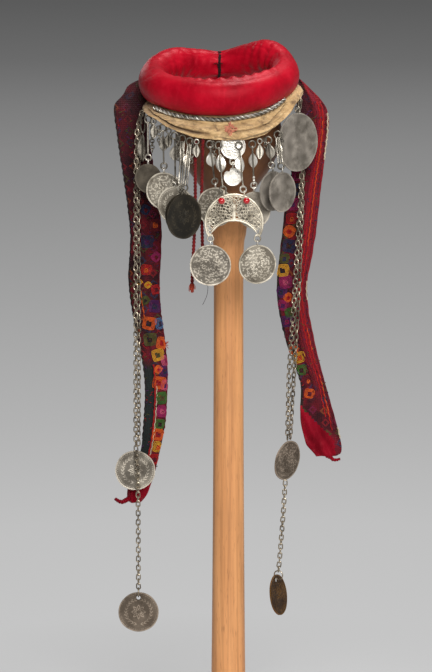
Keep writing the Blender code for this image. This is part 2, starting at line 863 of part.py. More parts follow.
def make_dangles():
    """Small leaf plates on jump links under the band."""
    for number, row in enumerate(DANGLES, 1):
        top = hang_point(row.angle)
        drop, height = row.drop * MM, row.height * MM
        ring_half = max(drop / 2, 2.6 * MM)
        ring = link("ring", 2.1 * MM, 0.6 * MM, SILVER, (0, 0, -ring_half * LINK_FLAT))
        ring.scale = (1, ring_half / (2.7 * MM), 1)
        plate_centre = (0, 0, -2 * ring_half * LINK_FLAT - height / 2 + 2 * OVERLAP)
        plate = leaf("plate", row.width * MM, height, LEAF_WALL, SILVER, plate_centre)
        made = fuse(f"leaf_dangle_{number}", [ring, plate], SILVER)
        made.matrix_world = (
            Matrix.Translation(top)
            @ Matrix.Rotation(math.radians(row.yaw), 4, "Z")
            @ made.matrix_world
        )


def make_side_disc():
    """Large plain disc by the right chain, facing half outward."""
    above = (0, 0, SIDE_DISC_RADIUS + BAIL_RADIUS - OVERLAP)
    ring = link("ring", BAIL_RADIUS, LINK_WIRE, DARK_SILVER, above)
    plate = disc("plate", SIDE_DISC_RADIUS, SIDE_DISC_WALL, SIDE_DISC_SIDES, DARK_SILVER)
    made = fuse("side_disc", [plate, ring], DARK_SILVER)
    made.matrix_world = (
        Matrix.Translation(SIDE_DISC_CENTRE)
        @ Matrix.Rotation(SIDE_DISC_YAW, 4, "Z")
        @ made.matrix_world
    )


def make_centre():
    """Half-hidden coin under the band, and the notched plate that hangs on it."""
    drop = CENTRE_COIN_RADIUS + 2 * CARRIER_RADIUS - LINK_WIRE
    coin = disc("coin", CENTRE_COIN_RADIUS, CENTRE_WALL, COIN_SIDES, SILVER)
    below = (0, 0, CARRIER_RADIUS - drop)
    ring = link("ring", CARRIER_RADIUS, LINK_WIRE, SILVER, below, segments=12)
    made = fuse("centre_coin", [coin, ring], SILVER)
    made.location = made.location + CENTRE_COIN_CENTRE
    pin = CENTRE_COIN_CENTRE - Vector((0, 0, drop))
    middle = -coin_drop(2 * CENTRE_PLATE_RADIUS)
    corner = (SHOULDER_X, 0, middle + SHOULDER_RISE)
    bail = link("bail", BAIL_RADIUS, LINK_WIRE, SILVER, (0, 0, -bail_hang()), "side")
    plate = disc("plate", CENTRE_PLATE_RADIUS, CENTRE_WALL, 14, SILVER, (0, 0, middle))
    shoulder = disc("shoulder", SHOULDER_RADIUS, CENTRE_WALL, 8, SILVER, corner)
    made = fuse("centre_plate", [plate, shoulder, bail], SILVER)
    made.matrix_world = Matrix.Translation(pin) @ made.matrix_world


# Crescent pendant


def crescent_shell(name, outer, inner, wall):
    """Crescent plate between two circles, cut level across its horns."""
    middle = (0, 0, -CRESCENT_INNER_DROP)
    plate = disc(name, outer, wall, CRESCENT_SIDES, SILVER)
    bite = disc("bite", inner, 4 * wall, CRESCENT_SIDES, SILVER, middle)
    half = outer * 2
    bpy.ops.mesh.primitive_cube_add(size=1, location=(0, 0, -CRESCENT_CUT - half))
    level = adopt_primitive("level", SILVER)
    level.scale = (2 * half, 4 * wall, 2 * half)
    return fuse(name, [plate], SILVER, [bite, level])


def filigree_cutters():
    """Rows of round piercings that follow the crescent's outer edge."""
    cutters = []
    for row in FILIGREE:
        count = row.reach // row.step
        for n in range(-count, count + 1):
            near_bead = row == FILIGREE[0] and abs(n) in (2, 3)
            if near_bead or n == 0:
                continue
            angle = math.radians(n * row.step)
            centre = Vector((math.sin(angle), 0, math.cos(angle))) * row.radius * MM
            cutters.append(disc("bore", PIERCING_RADIUS, 4 * CRESCENT_WALL, 6, SILVER, centre))
    return cutters


def crescent_pin_height():
    """Height of the crescent's hinge line above its centre."""
    rim = math.sqrt(CRESCENT_RADIUS**2 - CRESCENT_LOOP_SPREAD**2)
    return rim + bail_hang() + BAIL_RADIUS - 3 * OVERLAP


def horn_pin_height():
    """Height, above the crescent's centre, of the wire that each drop coin hangs on."""
    return LINK_WIRE - CRESCENT_CUT - 2 * CARRIER_RADIUS - 0.1 * MM


def crescent_rim():
    outer = crescent_shell("outer", CRESCENT_RADIUS, CRESCENT_INNER_RADIUS, CRESCENT_RIM_WALL)
    hollow = crescent_shell(
        "hollow",
        CRESCENT_RADIUS - CRESCENT_RIM_WIDTH,
        CRESCENT_INNER_RADIUS + CRESCENT_RIM_WIDTH,
        3 * CRESCENT_RIM_WALL,
    )
    return fuse("rim", [outer], SILVER, [hollow])


def crescent_links():
    """Two bails above, for the hangers, and a link under each horn."""
    made = []
    for side in (-1, 1):
        above = (side * CRESCENT_LOOP_SPREAD, 0, crescent_pin_height() - bail_hang())
        below = (side * HORN_SPREAD, 0, horn_pin_height() + CARRIER_RADIUS)
        made.append(link("loop", BAIL_RADIUS, LINK_WIRE, SILVER, above, "side"))
        made.append(link("horn", CARRIER_RADIUS, LINK_WIRE, SILVER, below, segments=12))
    return made


def make_crescent():
    plate = crescent_shell("plate", CRESCENT_RADIUS, CRESCENT_INNER_RADIUS, CRESCENT_WALL)
    pierced = fuse("pierced", [plate], SILVER, filigree_cutters())
    boss = disc("boss", BOSS_RADIUS, BOSS_WALL, 10, SILVER, (0, 0, BOSS_HEIGHT))
    bpy.ops.mesh.primitive_cube_add(size=1, location=(0, 0, STEM_HEIGHT))
    stem = adopt_primitive("stem", SILVER)
    stem.scale = STEM_SIZE
    made = fuse("crescent", [crescent_rim(), pierced, boss, stem, *crescent_links()], SILVER)
    made.location = made.location + CRESCENT_CENTRE


def make_beads():
    """Glass beads on the crescent's face, beside its middle stem."""
    for name, x in zip(("bead_left", "bead_right"), BEAD_X):
        place = Vector((x, -CRESCENT_WALL / 2 - BEAD_RADIUS - 1.2 * GAP, BEAD_HEIGHT))
        bpy.ops.mesh.primitive_uv_sphere_add(segments=10, ring_count=6, radius=BEAD_RADIUS)
        bead = adopt_primitive(name, GLASS)
        bead.location = CRESCENT_CENTRE + place
        smooth(bead, 80)


def make_crescent_hangers():
    height = crescent_pin_height()
    for name, side, angle in (("crescent_hanger_left", -1, -1), ("crescent_hanger_right", 1, 14)):
        pin = CRESCENT_CENTRE + Vector((side * CRESCENT_LOOP_SPREAD, 0, height))
        make_hanger(name, hang_point(angle), pin, segments=12)


def make_drop_coins():
    for row in DROP_COINS:
        pin = CRESCENT_CENTRE + Vector((row.side * HORN_SPREAD, 0, horn_pin_height()))
        make_hung_coin(
            row.name,
            pin,
            row.diameter * MM,
            row.yaw,
            LARGE_COIN_WALL,
            LARGE_COIN_SIDES,
            SILVER,
        )


make_stand()
make_ring()
make_ring_tie()
make_braid()
make_band()
make_streamer("streamer_left", LEFT_STREAMER, LEFT_FOLD, -1)
make_streamer("streamer_right", RIGHT_STREAMER, RIGHT_FOLD, 1)
make_ties()
make_chains()
make_chain_coins()
make_chain_end(LEFT_END, LEFT_CHAIN_LOWER)
make_chain_end(RIGHT_END, RIGHT_CHAIN_LOWER)
make_cords()
make_fringe()
make_dangles()
make_side_disc()
make_centre()
make_crescent()
make_beads()
make_crescent_hangers()
make_drop_coins()
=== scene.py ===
"""Looks of the bridal headdress: satin, cloth, embroidery, relief, links and wood,
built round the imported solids."""

import json
import math
import random

import bmesh
import bpy
import numpy as np
from mathutils import Matrix, Vector, noise
from mathutils.bvhtree import BVHTree


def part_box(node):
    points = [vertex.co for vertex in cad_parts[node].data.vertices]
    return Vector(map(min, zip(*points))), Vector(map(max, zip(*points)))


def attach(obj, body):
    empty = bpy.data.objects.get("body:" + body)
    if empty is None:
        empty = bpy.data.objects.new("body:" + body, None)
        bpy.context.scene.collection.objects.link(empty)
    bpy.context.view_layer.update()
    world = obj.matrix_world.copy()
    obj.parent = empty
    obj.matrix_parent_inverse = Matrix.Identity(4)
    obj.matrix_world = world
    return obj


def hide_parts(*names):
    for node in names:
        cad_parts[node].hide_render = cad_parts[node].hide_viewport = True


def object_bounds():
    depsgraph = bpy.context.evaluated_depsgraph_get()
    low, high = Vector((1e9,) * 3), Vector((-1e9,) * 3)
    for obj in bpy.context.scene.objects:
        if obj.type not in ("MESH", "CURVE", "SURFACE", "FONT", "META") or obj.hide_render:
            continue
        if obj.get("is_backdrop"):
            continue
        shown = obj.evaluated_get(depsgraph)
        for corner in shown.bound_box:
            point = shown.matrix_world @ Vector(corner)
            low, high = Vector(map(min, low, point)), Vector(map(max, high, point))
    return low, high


MM = 0.001

# Camera
IMAGE_HEIGHT = 672
METRES_PER_PIXEL = 0.0011
VIEW_DISTANCE = 3.0
VIEW_ELEVATION = math.radians(8)
VIEW_TARGET = Vector((-0.0138, 0, 0.462))
SENSOR_HEIGHT = 36

# Backdrop and lights
WORLD_GREY = 0.095
FLOOR_GREY = 0.60
FLOOR_RADIUS = 60.0
HALF_TONE_DISTANCE = 3.0
LIGHT_TARGET = Vector((0, 0, 0.55))
# Place, size and power of each light
LIGHTS = {
    "key": ((0.38, -2.15, 1.65), 1.7, 79),
    "top": ((0.35, 0.30, 2.4), 0.8, 24),
    "side": ((2.1, -0.5, 1.0), 1.2, 2),
    "rim": ((-0.9, 1.8, 1.4), 0.9, 3),
}

# Metalwork
RING_WIRE = 0.62 * MM
CARRIER_RADIUS = 3.3 * MM
BAIL_RADIUS = 2.6 * MM
HANGER_WIRE = 0.92 * MM
TOP_LINK_RADIUS = 3.6 * MM
SIDE_LINK_RADIUS = 2.1 * MM
SIDE_LINK_PITCH = 3.4 * MM
PLATE_RADIUS = 9.8 * MM
LONG_LEAF = 30 * MM
LEAST_LEAF_WIDTH = 8.4 * MM
CHAIN_LENGTH = 8.2 * MM
CHAIN_WIDTH = 5.6 * MM
CHAIN_WIRE = 1.40 * MM
BACK_STRAND_SHIFT = 1.4 * MM
RIGHT_CHAIN_REACH = np.array((3.0, -1.0, 15.0)) * MM
END_HOLE_HEIGHT = 16.4 * MM
END_HOLE_RADIUS = 2.3 * MM
END_RING_RADIUS = 5 * MM
END_RING_WIRE = 0.68 * MM
END_RING_SEAT = 3.75 * MM
BRIGHT_WITHIN = 0.030

# Stand
# Height above which the stand's head is painted darker, as shade under the ring
HEAD_SHADE_FROM = 0.585
STAND_SIDES = 96
FOOT_TOP = 0.026

# Crescent
CRESCENT_PIN_HEIGHT = 32.33 * MM
CRESCENT_RADIUS = 31.6 * MM
CRESCENT_INNER_RADIUS = 27.4 * MM
CRESCENT_INNER_DROP = 25.7 * MM
CRESCENT_CUT = 14 * MM
CRESCENT_LOOP_SPREAD = 10.7 * MM
HORN_SPREAD = 25 * MM
FILIGREE_WIRE = 0.58 * MM

# Padded ring
RING_CENTRE = Vector((-0.010, 0, 0.741))

# Band
SIDE_RISE = 17 * MM
SIDE_SPREAD = 0.38
BAND_TUCK = 3.5 * MM
FLOWER_X = 0.0015
FLOWER_Z = 0.694
FLOWER_REACH = 7.2 * MM
FLOWER_STITCHES = 110

# Route of each strand of the red cord, in metres
LONG_CORD = [
    (-0.0360, -0.0705, 0.682),
    (-0.0360, -0.0675, 0.664),
    (-0.0360, -0.0630, 0.640),
    (-0.0360, -0.0610, 0.612),
    (-0.0370, -0.0630, 0.582),
    (-0.0384, -0.0650, 0.553),
    (-0.0395, -0.0660, 0.527),
]
SHORT_CORD = [
    (-0.0278, -0.0742, 0.683),
    (-0.0284, -0.0660, 0.662),
    (-0.0290, -0.0550, 0.638),
    (-0.0293, -0.0530, 0.608),
    (-0.0286, -0.0550, 0.580),
    (-0.0282, -0.0570, 0.552),
]

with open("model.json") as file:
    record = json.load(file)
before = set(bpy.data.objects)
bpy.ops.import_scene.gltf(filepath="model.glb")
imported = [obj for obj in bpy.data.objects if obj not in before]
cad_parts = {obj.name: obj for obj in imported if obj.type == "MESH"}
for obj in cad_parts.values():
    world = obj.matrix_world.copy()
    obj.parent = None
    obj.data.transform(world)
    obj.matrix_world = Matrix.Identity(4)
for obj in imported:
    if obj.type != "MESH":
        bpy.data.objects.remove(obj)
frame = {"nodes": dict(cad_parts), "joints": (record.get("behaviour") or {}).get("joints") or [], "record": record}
CAD_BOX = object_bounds()


def up(height):
    return Vector((0, 0, height))


def link_new(name, data):
    obj = bpy.data.objects.new(name, data)
    bpy.context.scene.collection.objects.link(obj)
    return obj


def apply_modifiers(obj):
    bpy.context.view_layer.update()
    graph = bpy.context.evaluated_depsgraph_get()
    obj.data = bpy.data.meshes.new_from_object(obj.evaluated_get(graph))
    obj.modifiers.clear()


# Camera, backdrop and lights


def make_camera():
    data = bpy.data.cameras.new("camera")
    data.sensor_fit = "VERTICAL"
    data.sensor_height = SENSOR_HEIGHT
    data.lens = SENSOR_HEIGHT * VIEW_DISTANCE / (METRES_PER_PIXEL * IMAGE_HEIGHT)
    camera = link_new("camera", data)
    back = Vector((0, -math.cos(VIEW_ELEVATION), math.sin(VIEW_ELEVATION)))
    camera.location = VIEW_TARGET + back * VIEW_DISTANCE
    camera.rotation_euler = (-back).to_track_quat("-Z", "Y").to_euler()
    bpy.context.scene.camera = camera


def make_lights():
    for name, (place, size, power) in LIGHTS.items():
        data = bpy.data.lights.new(name, "AREA")
        data.shape = "DISK"
        data.size = size
        data.energy = power
        light = link_new(name, data)
        light.location = place
        light.rotation_euler = (LIGHT_TARGET - light.location).to_track_quat("-Z", "Y").to_euler()
    world = bpy.data.worlds.new("studio")
    world.use_nodes = True
    background = world.node_tree.nodes["Background"]
    background.inputs["Color"].default_value = (WORLD_GREY, WORLD_GREY, WORLD_GREY, 1)
    bpy.context.scene.world = world
    bpy.context.scene.view_settings.view_transform = "Standard"


# Materials


class Shader:
    """A Principled material, with short calls that add nodes to it."""

    def __init__(self, name, colour=(0.5, 0.5, 0.5), roughness=0.5, metallic=0.0):
        self.material = bpy.data.materials.new(name)
        self.material.use_nodes = True
        self.tree = self.material.node_tree
        self.surface = self.tree.nodes["Principled BSDF"]
        self.set("Base Color", colour)
        self.set("Roughness", roughness)
        self.set("Metallic", metallic)

    def feed(self, socket, value):
        if isinstance(value, bpy.types.NodeSocket):
            self.tree.links.new(value, socket)
        elif socket.type == "RGBA":
            socket.default_value = (*value[:3], 1)
        else:
            socket.default_value = value

    def set(self, name, value):
        self.feed(self.surface.inputs[name], value)

    def node(self, kind, settings=(), **inputs):
        made = self.tree.nodes.new("ShaderNode" + kind)
        for name, value in dict(settings).items():
            setattr(made, name, value)
        for name, value in inputs.items():
            self.feed(made.inputs[name.replace("_", " ")], value)
        return made

    def place(self, stretch=(1, 1, 1), kind="Object"):
        coordinates = self.node("TexCoord").outputs[kind]
        return self.node("Mapping", Vector=coordinates, Scale=stretch).outputs[0]

    def noise(self, scale, detail=3.0, rough=0.55, at=None, distortion=0.0):
        at = at or self.place()
        made = self.node(
            "TexNoise", Vector=at, Scale=scale, Detail=detail, Roughness=rough, Distortion=distortion
        )
        return made.outputs[0]

    def cells(self, scale, at=None, **settings):
        at = at or self.place()
        return self.node("TexVoronoi", settings, Vector=at, Scale=scale)

    def stripes(self, scale, at=None, direction="X", distortion=0.0, detail=0.0):
        settings = {"wave_type": "BANDS", "bands_direction": direction}
        at = at or self.place()
        made = self.node(
            "TexWave", settings, Vector=at, Scale=scale, Distortion=distortion, Detail=detail
        )
        return made.outputs["Fac"]

    def ramp(self, fac, *stops, constant=False):
        made = self.node("ValToRGB", Fac=fac)
        elements = made.color_ramp.elements
        if constant:
            made.color_ramp.interpolation = "CONSTANT"
        while len(elements) < len(stops):
            elements.new(0.5)
        for element, (position, colour) in zip(elements, stops):
            element.position = position
            element.color = (*colour, 1)
        return made.outputs[0]

    def grey(self, fac, *stops):
        return self.ramp(fac, *[(position, (value,) * 3) for position, value in stops])

    def mix(self, fac, first, second):
        made = self.tree.nodes.new("ShaderNodeMix")
        made.data_type = "RGBA"
        for index, value in ((0, fac), (6, first), (7, second)):
            self.feed(made.inputs[index], value)
        return made.outputs[2]

    def calc(self, operation, *values):
        made = self.tree.nodes.new("ShaderNodeMath")
        made.operation = operation
        for socket, value in zip(made.inputs, values):
            self.feed(socket, value)
        return made.outputs[0]

    def attribute(self, name):
        return self.node("Attribute", {"attribute_name": name}).outputs["Fac"]

    def bump(self, height, strength, distance, normal=None):
        made = self.node("Bump", Height=height, Strength=strength, Distance=distance)
        if normal:
            self.feed(made.inputs["Normal"], normal)
        self.set("Normal", made.outputs[0])
        return made.outputs[0]


def weave(shader, pitch, strength, normal=None, kind="Object"):
    """Fine over-and-under threads, as bump."""
    at = shader.place(kind=kind)
    scale = 1 / pitch / 6.283
    across = shader.stripes(scale, at, "X", 0.6, 1.0)
    along = shader.stripes(scale, at, "Z" if kind == "Object" else "Y", 0.6, 1.0)
    return shader.bump(shader.calc("MULTIPLY", across, along), strength, pitch, normal)


def satin(name, deep, mid, pale):
    shader = Shader(name, mid, 0.42)
    broad = shader.noise(22, 4, 0.6)
    fine = shader.noise(260, 3, 0.7, shader.place((1, 1, 0.3)))
    colour = shader.ramp(broad, (0.30, deep), (0.55, mid), (0.78, pale))
    worn = shader.grey(fine, (0.52, 0.0), (0.75, 0.35))
    shader.set("Base Color", shader.mix(worn, colour, pale))
    shader.set("Roughness", shader.grey(broad, (0.3, 0.38), (0.8, 0.52)))
    shader.set("Sheen Weight", 0.04)
    shader.set("Sheen Roughness", 0.30)
    shader.set("Sheen Tint", (1.0, 0.20, 0.24))
    shader.set("Specular IOR Level", 0.34)
    shader.set("Specular Tint", (1.0, 0.16, 0.20))
    creases = shader.bump(shader.noise(95, 4, 0.55, shader.place((1, 1, 0.5))), 0.30, 0.0012)
    weave(shader, 0.45 * MM, 0.12, creases)
    return shader.material


def linen(name, pale, mid, stain_and_shade):
    shader = Shader(name, mid, 0.92)
    broad = shader.noise(38, 5, 0.62)
    blots = shader.noise(95, 4, 0.65, distortion=0.6)
    colour = shader.ramp(broad, (0.35, mid), (0.62, pale))
    dirt = shader.grey(blots, (0.47, 0.0), (0.66, 0.8))
    lines = shader.noise(95, 4, 0.6, shader.place((0.5, 0.5, 2.0)), 0.9)
    # Thin lines of the cloth's mid tone, drawn from stretched noise
    mid_tone_lines = shader.grey(lines, (0.45, 0.0), (0.49, 0.8), (0.51, 0.8), (0.55, 0.0))
    worn = shader.mix(mid_tone_lines, shader.mix(dirt, colour, stain_and_shade), mid)
    # Painted shade: the hollows under the band's folds take the dark blot colour
    shader.set("Base Color", shader.mix(shader.attribute("painted_fold_shade"), worn, stain_and_shade))
    shader.set("Sheen Weight", 0.12)
    crumple = shader.bump(shader.noise(170, 6, 0.62), 0.8, 0.0018)
    weave(shader, 0.7 * MM, 0.4, crumple)
    return shader.material


GROUND_THREADS = [
    (0.00, (0.055, 0.006, 0.010)),
    (0.20, (0.20, 0.045, 0.012)),
    (0.35, (0.13, 0.008, 0.035)),
    (0.50, (0.020, 0.024, 0.055)),
    (0.65, (0.19, 0.008, 0.012)),
    (0.85, (0.060, 0.055, 0.014)),
]
STITCH = 1.15 * MM
MOTIF = 13 * MM


def embroidery(name, ground, ground_wear_and_shade, border, lining_in_painted_shade):
    """Counted stitches in faint lozenges on dark cloth, with a plainer red border, a lining in painted shade and
    painted shade at the top.
    """
    shader = Shader(name, ground, 0.86)
    at = shader.place(kind="UV")
    cells = shader.cells(1 / MOTIF, at, voronoi_dimensions="2D", distance="MANHATTAN")
    cells.inputs["Randomness"].default_value = 0.2
    distance = cells.outputs["Distance"]
    split = shader.node("SeparateColor", Color=cells.outputs["Color"])
    hue = shader.ramp(split.outputs[0], *GROUND_THREADS, constant=True)
    step = shader.noise(1 / STITCH, 0, 0.5, at)
    edge = shader.calc("ADD", distance, shader.calc("MULTIPLY", step, 0.10))
    ring = shader.grey(edge, (0.22, 0.0), (0.25, 0.75), (0.42, 0.75), (0.46, 0.0))
    patchy = shader.noise(60, 4, 0.6)
    cloth = shader.mix(shader.grey(patchy, (0.38, 0.0), (0.62, 1.0)), ground_wear_and_shade, ground)
    worked = shader.mix(ring, cloth, hue)
    rows = shader.stripes(36, at, "X", 1.5, 2.0)
    edging = shader.mix(shader.grey(rows, (0.25, 0.0), (0.7, 1.0)), border, ground)
    colour = shader.mix(shader.attribute("border"), worked, edging)
    # Painted shade: where the lining shows, it is coloured near-black
    colour = shader.mix(shader.attribute("lining_in_painted_shade"), colour, lining_in_painted_shade)
    # Painted shade: the top of the strip goes to the dark ground colour
    colour = shader.mix(shader.attribute("shade"), colour, ground_wear_and_shade)
    fray = shader.noise(900, 3, 0.7)
    colour = shader.mix(shader.grey(fray, (0.45, 0.0), (0.7, 0.5)), colour, ground_wear_and_shade)
    shader.set("Base Color", colour)
    shader.set("Sheen Weight", 0.06)
    shader.set("Specular IOR Level", 0.2)
    raised_thread = shader.bump(ring, 0.5, 0.0009)
    weave(shader, STITCH, 0.65, raised_thread, "UV")
    return shader.material


def metal(name, pale, mid, dark, roughness, relief=False, shine=0.85):
    """Worn silver: bright where rubbed, darker in hollows and patches."""
    shader = Shader(name, mid, roughness, shine)
    patches = shader.noise(70, 5, 0.6)
    specks = shader.noise(900, 3, 0.6)
    colour = shader.ramp(patches, (0.30, mid), (0.62, pale))
    tarnish = shader.grey(patches, (0.28, 1.0), (0.5, 0.0))
    colour = shader.mix(shader.calc("MULTIPLY", tarnish, 0.7), colour, dark)
    colour = shader.mix(shader.grey(specks, (0.56, 0.0), (0.75, 0.55)), colour, dark)
    if relief:
        hollow = shader.grey(shader.attribute("relief"), (0.18, 0.86), (0.60, 0.0))
        colour = shader.mix(hollow, colour, dark)
    shader.set("Base Color", colour)
    shader.set("Roughness", shader.grey(patches, (0.3, roughness + 0.14), (0.7, roughness)))
    pits = shader.bump(specks, 0.22, 0.0003)
    shader.bump(shader.noise(260, 2, 0.5), 0.25, 0.0004, pits)
    return shader.material


FIBRE = 0.3 * MM


def thread(name, pale, dark, sheen=0.08):
    """Spun thread: fine fibres and uneven dye."""
    shader = Shader(name, pale, 0.85)
    uneven = shader.noise(160, 4, 0.65)
    fibres = shader.noise(1 / FIBRE, 4, 0.7)
    colour = shader.ramp(uneven, (0.32, dark), (0.66, pale))
    shader.set("Base Color", shader.mix(shader.grey(fibres, (0.4, 0.5), (0.6, 0.0)), colour, dark))
    shader.set("Sheen Weight", sheen)
    shader.set("Specular IOR Level", 0.15)
    shader.bump(fibres, 0.6, FIBRE)
    return shader.material


def beech(name):
    """Turned light wood: long grain, short darker flecks, soft wax, and painted shade that darkens the head under
    the ring.
    """
    shader = Shader(name, (0.5, 0.27, 0.13), 0.46)
    grain = shader.noise(26, 5, 0.6, shader.place((1, 1, 0.07)), 0.4)
    lines = shader.noise(240, 3, 0.6, shader.place((1, 1, 0.025)))
    flecks = shader.noise(700, 2, 0.5, shader.place((1, 1, 0.10)))
    stains = shader.noise(9, 4, 0.6)
    colour = shader.ramp(
        grain, (0.30, (0.52, 0.220, 0.082)), (0.52, (0.69, 0.325, 0.130)), (0.75, (0.79, 0.400, 0.170))
    )
    colour = shader.mix(shader.grey(lines, (0.36, 0.4), (0.55, 0.0)), colour, (0.30, 0.13, 0.05))
    colour = shader.mix(shader.grey(flecks, (0.60, 0.0), (0.74, 0.5)), colour, (0.26, 0.11, 0.045))
    colour = shader.mix(shader.grey(stains, (0.52, 0.0), (0.78, 0.35)), colour, (0.33, 0.16, 0.07))
    height = shader.node("SeparateXYZ", Vector=shader.place()).outputs[2]
    # Painted shade: the head is darkened to deep brown above this height, where the ring overhangs it
    painted_head_shade = shader.grey(height, (HEAD_SHADE_FROM, 0.0), (HEAD_SHADE_FROM + 0.04, 0.84))
    colour = shader.mix(painted_head_shade, colour, (0.085, 0.030, 0.013))
    shader.set("Specular IOR Level", 0.25)
    shader.set("Base Color", colour)
    shader.set("Roughness", shader.grey(grain, (0.3, 0.40), (0.8, 0.56)))
    shader.bump(lines, 0.12, 0.0004)
    return shader.material


def glass(name, colour):
    shader = Shader(name, colour, 0.12)
    swirl = shader.noise(500, 3, 0.6)
    deep = tuple(0.35 * value for value in colour)
    shader.set("Base Color", shader.ramp(swirl, (0.3, deep), (0.65, colour)))
    shader.set("Coat Weight", 0.8)
    shader.bump(swirl, 0.1, 0.0003)
    return shader.material


# Grey of the backdrop by how far off it is: the share is 0 at the stand and 1 at no end
FLOOR_TONES = [
    (0.094, 0.578),
    (0.289, 0.527),
    (0.416, 0.445),
    (0.523, 0.386),
    (0.631, 0.323),
    (0.756, 0.246),
    (0.811, 0.200),
    (0.868, 0.144),
    (0.939, 0.105),
    (1.000, WORLD_GREY),
]


def studio_floor(name):
    """Pale paper that darkens evenly into the distance on every side."""
    shader = Shader(name, (FLOOR_GREY,) * 3, 0.9)
    place = shader.node("SeparateXYZ", Vector=shader.place())
    x, y = place.outputs[0], place.outputs[1]
    squares = shader.calc("ADD", shader.calc("MULTIPLY", x, x), shader.calc("MULTIPLY", y, y))
    away = shader.calc("SQRT", squares)
    share = shader.calc("DIVIDE", away, shader.calc("ADD", away, HALF_TONE_DISTANCE))
    emission = shader.node("Emission", Color=shader.grey(share, *FLOOR_TONES))
    mottle = shader.noise(3, 3, 0.5)
    shader.set("Base Color", shader.grey(mottle, (0.3, FLOOR_GREY - 0.01), (0.7, FLOOR_GREY)))
    far = shader.grey(share, (0.06, 0.0), (0.17, 1.0))
    blend = shader.node("MixShader", Fac=far)
    shader.tree.links.new(shader.surface.outputs[0], blend.inputs[1])
    shader.tree.links.new(emission.outputs[0], blend.inputs[2])
    output = shader.tree.nodes["Material Output"]
    shader.tree.links.new(blend.outputs[0], output.inputs["Surface"])
    shader.bump(shader.noise(400, 3, 0.5), 0.02, 0.0005)
    return shader.material


CRIMSON = satin("crimson_satin", (0.20, 0.001, 0.006), (0.37, 0.002, 0.012), (0.50, 0.010, 0.026))
END_SATIN = satin("red_end_cloth", (0.09, 0.001, 0.004), (0.20, 0.002, 0.010), (0.32, 0.012, 0.022))
LINEN = linen("cream_cloth", (0.64, 0.44, 0.22), (0.42, 0.26, 0.11), (0.075, 0.035, 0.014))
# Ground, its worn patches (also the colour of the painted shade near the top), the plain border, and the lining in
# painted shade
EMBROIDERY_TONES = {
    "left": ((0.120, 0.004, 0.010), (0.020, 0.003, 0.005), (0.28, 0.006, 0.012), (0.010, 0.016, 0.015)),
    "right": ((0.150, 0.004, 0.012), (0.030, 0.003, 0.006), (0.21, 0.005, 0.010), (0.018, 0.012, 0.010)),
}
EMBROIDERY = {side: embroidery(f"embroidery_{side}", *tones) for side, tones in EMBROIDERY_TONES.items()}

# Rubbed, usual and tarnished colour, roughness, whether it has relief, and how metallic it is
METALS = {
    "silver": ((0.84, 0.80, 0.72), (0.56, 0.52, 0.45), (0.06, 0.05, 0.04), 0.34),
    "coin_silver": ((0.55, 0.49, 0.40), (0.33, 0.285, 0.225), (0.050, 0.040, 0.028), 0.48, True, 0.45),
    "grey_silver": ((0.40, 0.355, 0.30), (0.25, 0.22, 0.18), (0.07, 0.058, 0.045), 0.5, True, 0.4),
    "old_coin": ((0.150, 0.124, 0.090), (0.090, 0.073, 0.052), (0.028, 0.021, 0.014), 0.5, True, 0.4),
    "dark_silver": ((0.050, 0.040, 0.025), (0.024, 0.019, 0.011), (0.006, 0.005, 0.003), 0.5, True, 0.4),
    "brown_silver": ((0.34, 0.27, 0.205), (0.20, 0.155, 0.115), (0.06, 0.042, 0.026), 0.5, True, 0.4),
    "brass_brown": ((0.23, 0.110, 0.026), (0.120, 0.054, 0.013), (0.035, 0.015, 0.005), 0.46, True, 0.7),
    "pale_coin": ((0.62, 0.56, 0.455), (0.42, 0.37, 0.285), (0.080, 0.064, 0.044), 0.46, True, 0.45),
    "old_silver": ((0.30, 0.27, 0.22), (0.12, 0.105, 0.082), (0.022, 0.018, 0.013), 0.4),
    "worn_silver": ((0.62, 0.57, 0.48), (0.32, 0.29, 0.24), (0.045, 0.036, 0.026), 0.38),
    "chain_silver": ((0.41, 0.35, 0.26), (0.16, 0.130, 0.095), (0.026, 0.019, 0.013), 0.34, False, 0.9),
    "crescent_silver": ((0.72, 0.65, 0.52), (0.46, 0.40, 0.30), (0.07, 0.055, 0.038), 0.42, False, 0.6),
    "silver_thread": ((0.66, 0.64, 0.58), (0.36, 0.35, 0.31), (0.05, 0.05, 0.04), 0.40, False, 0.6),
}
METAL = {name: metal(name, *tones) for name, tones in METALS.items()}
SILVER, OLD_SILVER = METAL["silver"], METAL["old_silver"]
RED_THREAD = thread("red_cord", (0.23, 0.010, 0.010), (0.075, 0.004, 0.005))
TUFT_THREAD = thread("red_tuft", (0.42, 0.050, 0.018), (0.20, 0.014, 0.008), 0.15)
DARK_THREAD = thread("dark_cord", (0.024, 0.009, 0.009), (0.008, 0.004, 0.004), 0.0)
PINK_THREAD = thread("pink_thread", (0.58, 0.24, 0.15), (0.42, 0.13, 0.08))
RED_GLASS = glass("red_glass", (0.55, 0.006, 0.010))
WOOD = beech("wood")


def make_floor():
    bpy.ops.mesh.primitive_circle_add(vertices=96, radius=FLOOR_RADIUS, fill_type="NGON")
    floor = bpy.context.object
    floor.name = "floor"
    floor.data.materials.append(studio_floor("studio_floor"))
    floor.location.z = -0.0004
    floor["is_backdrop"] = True


# Shapes from points and faces


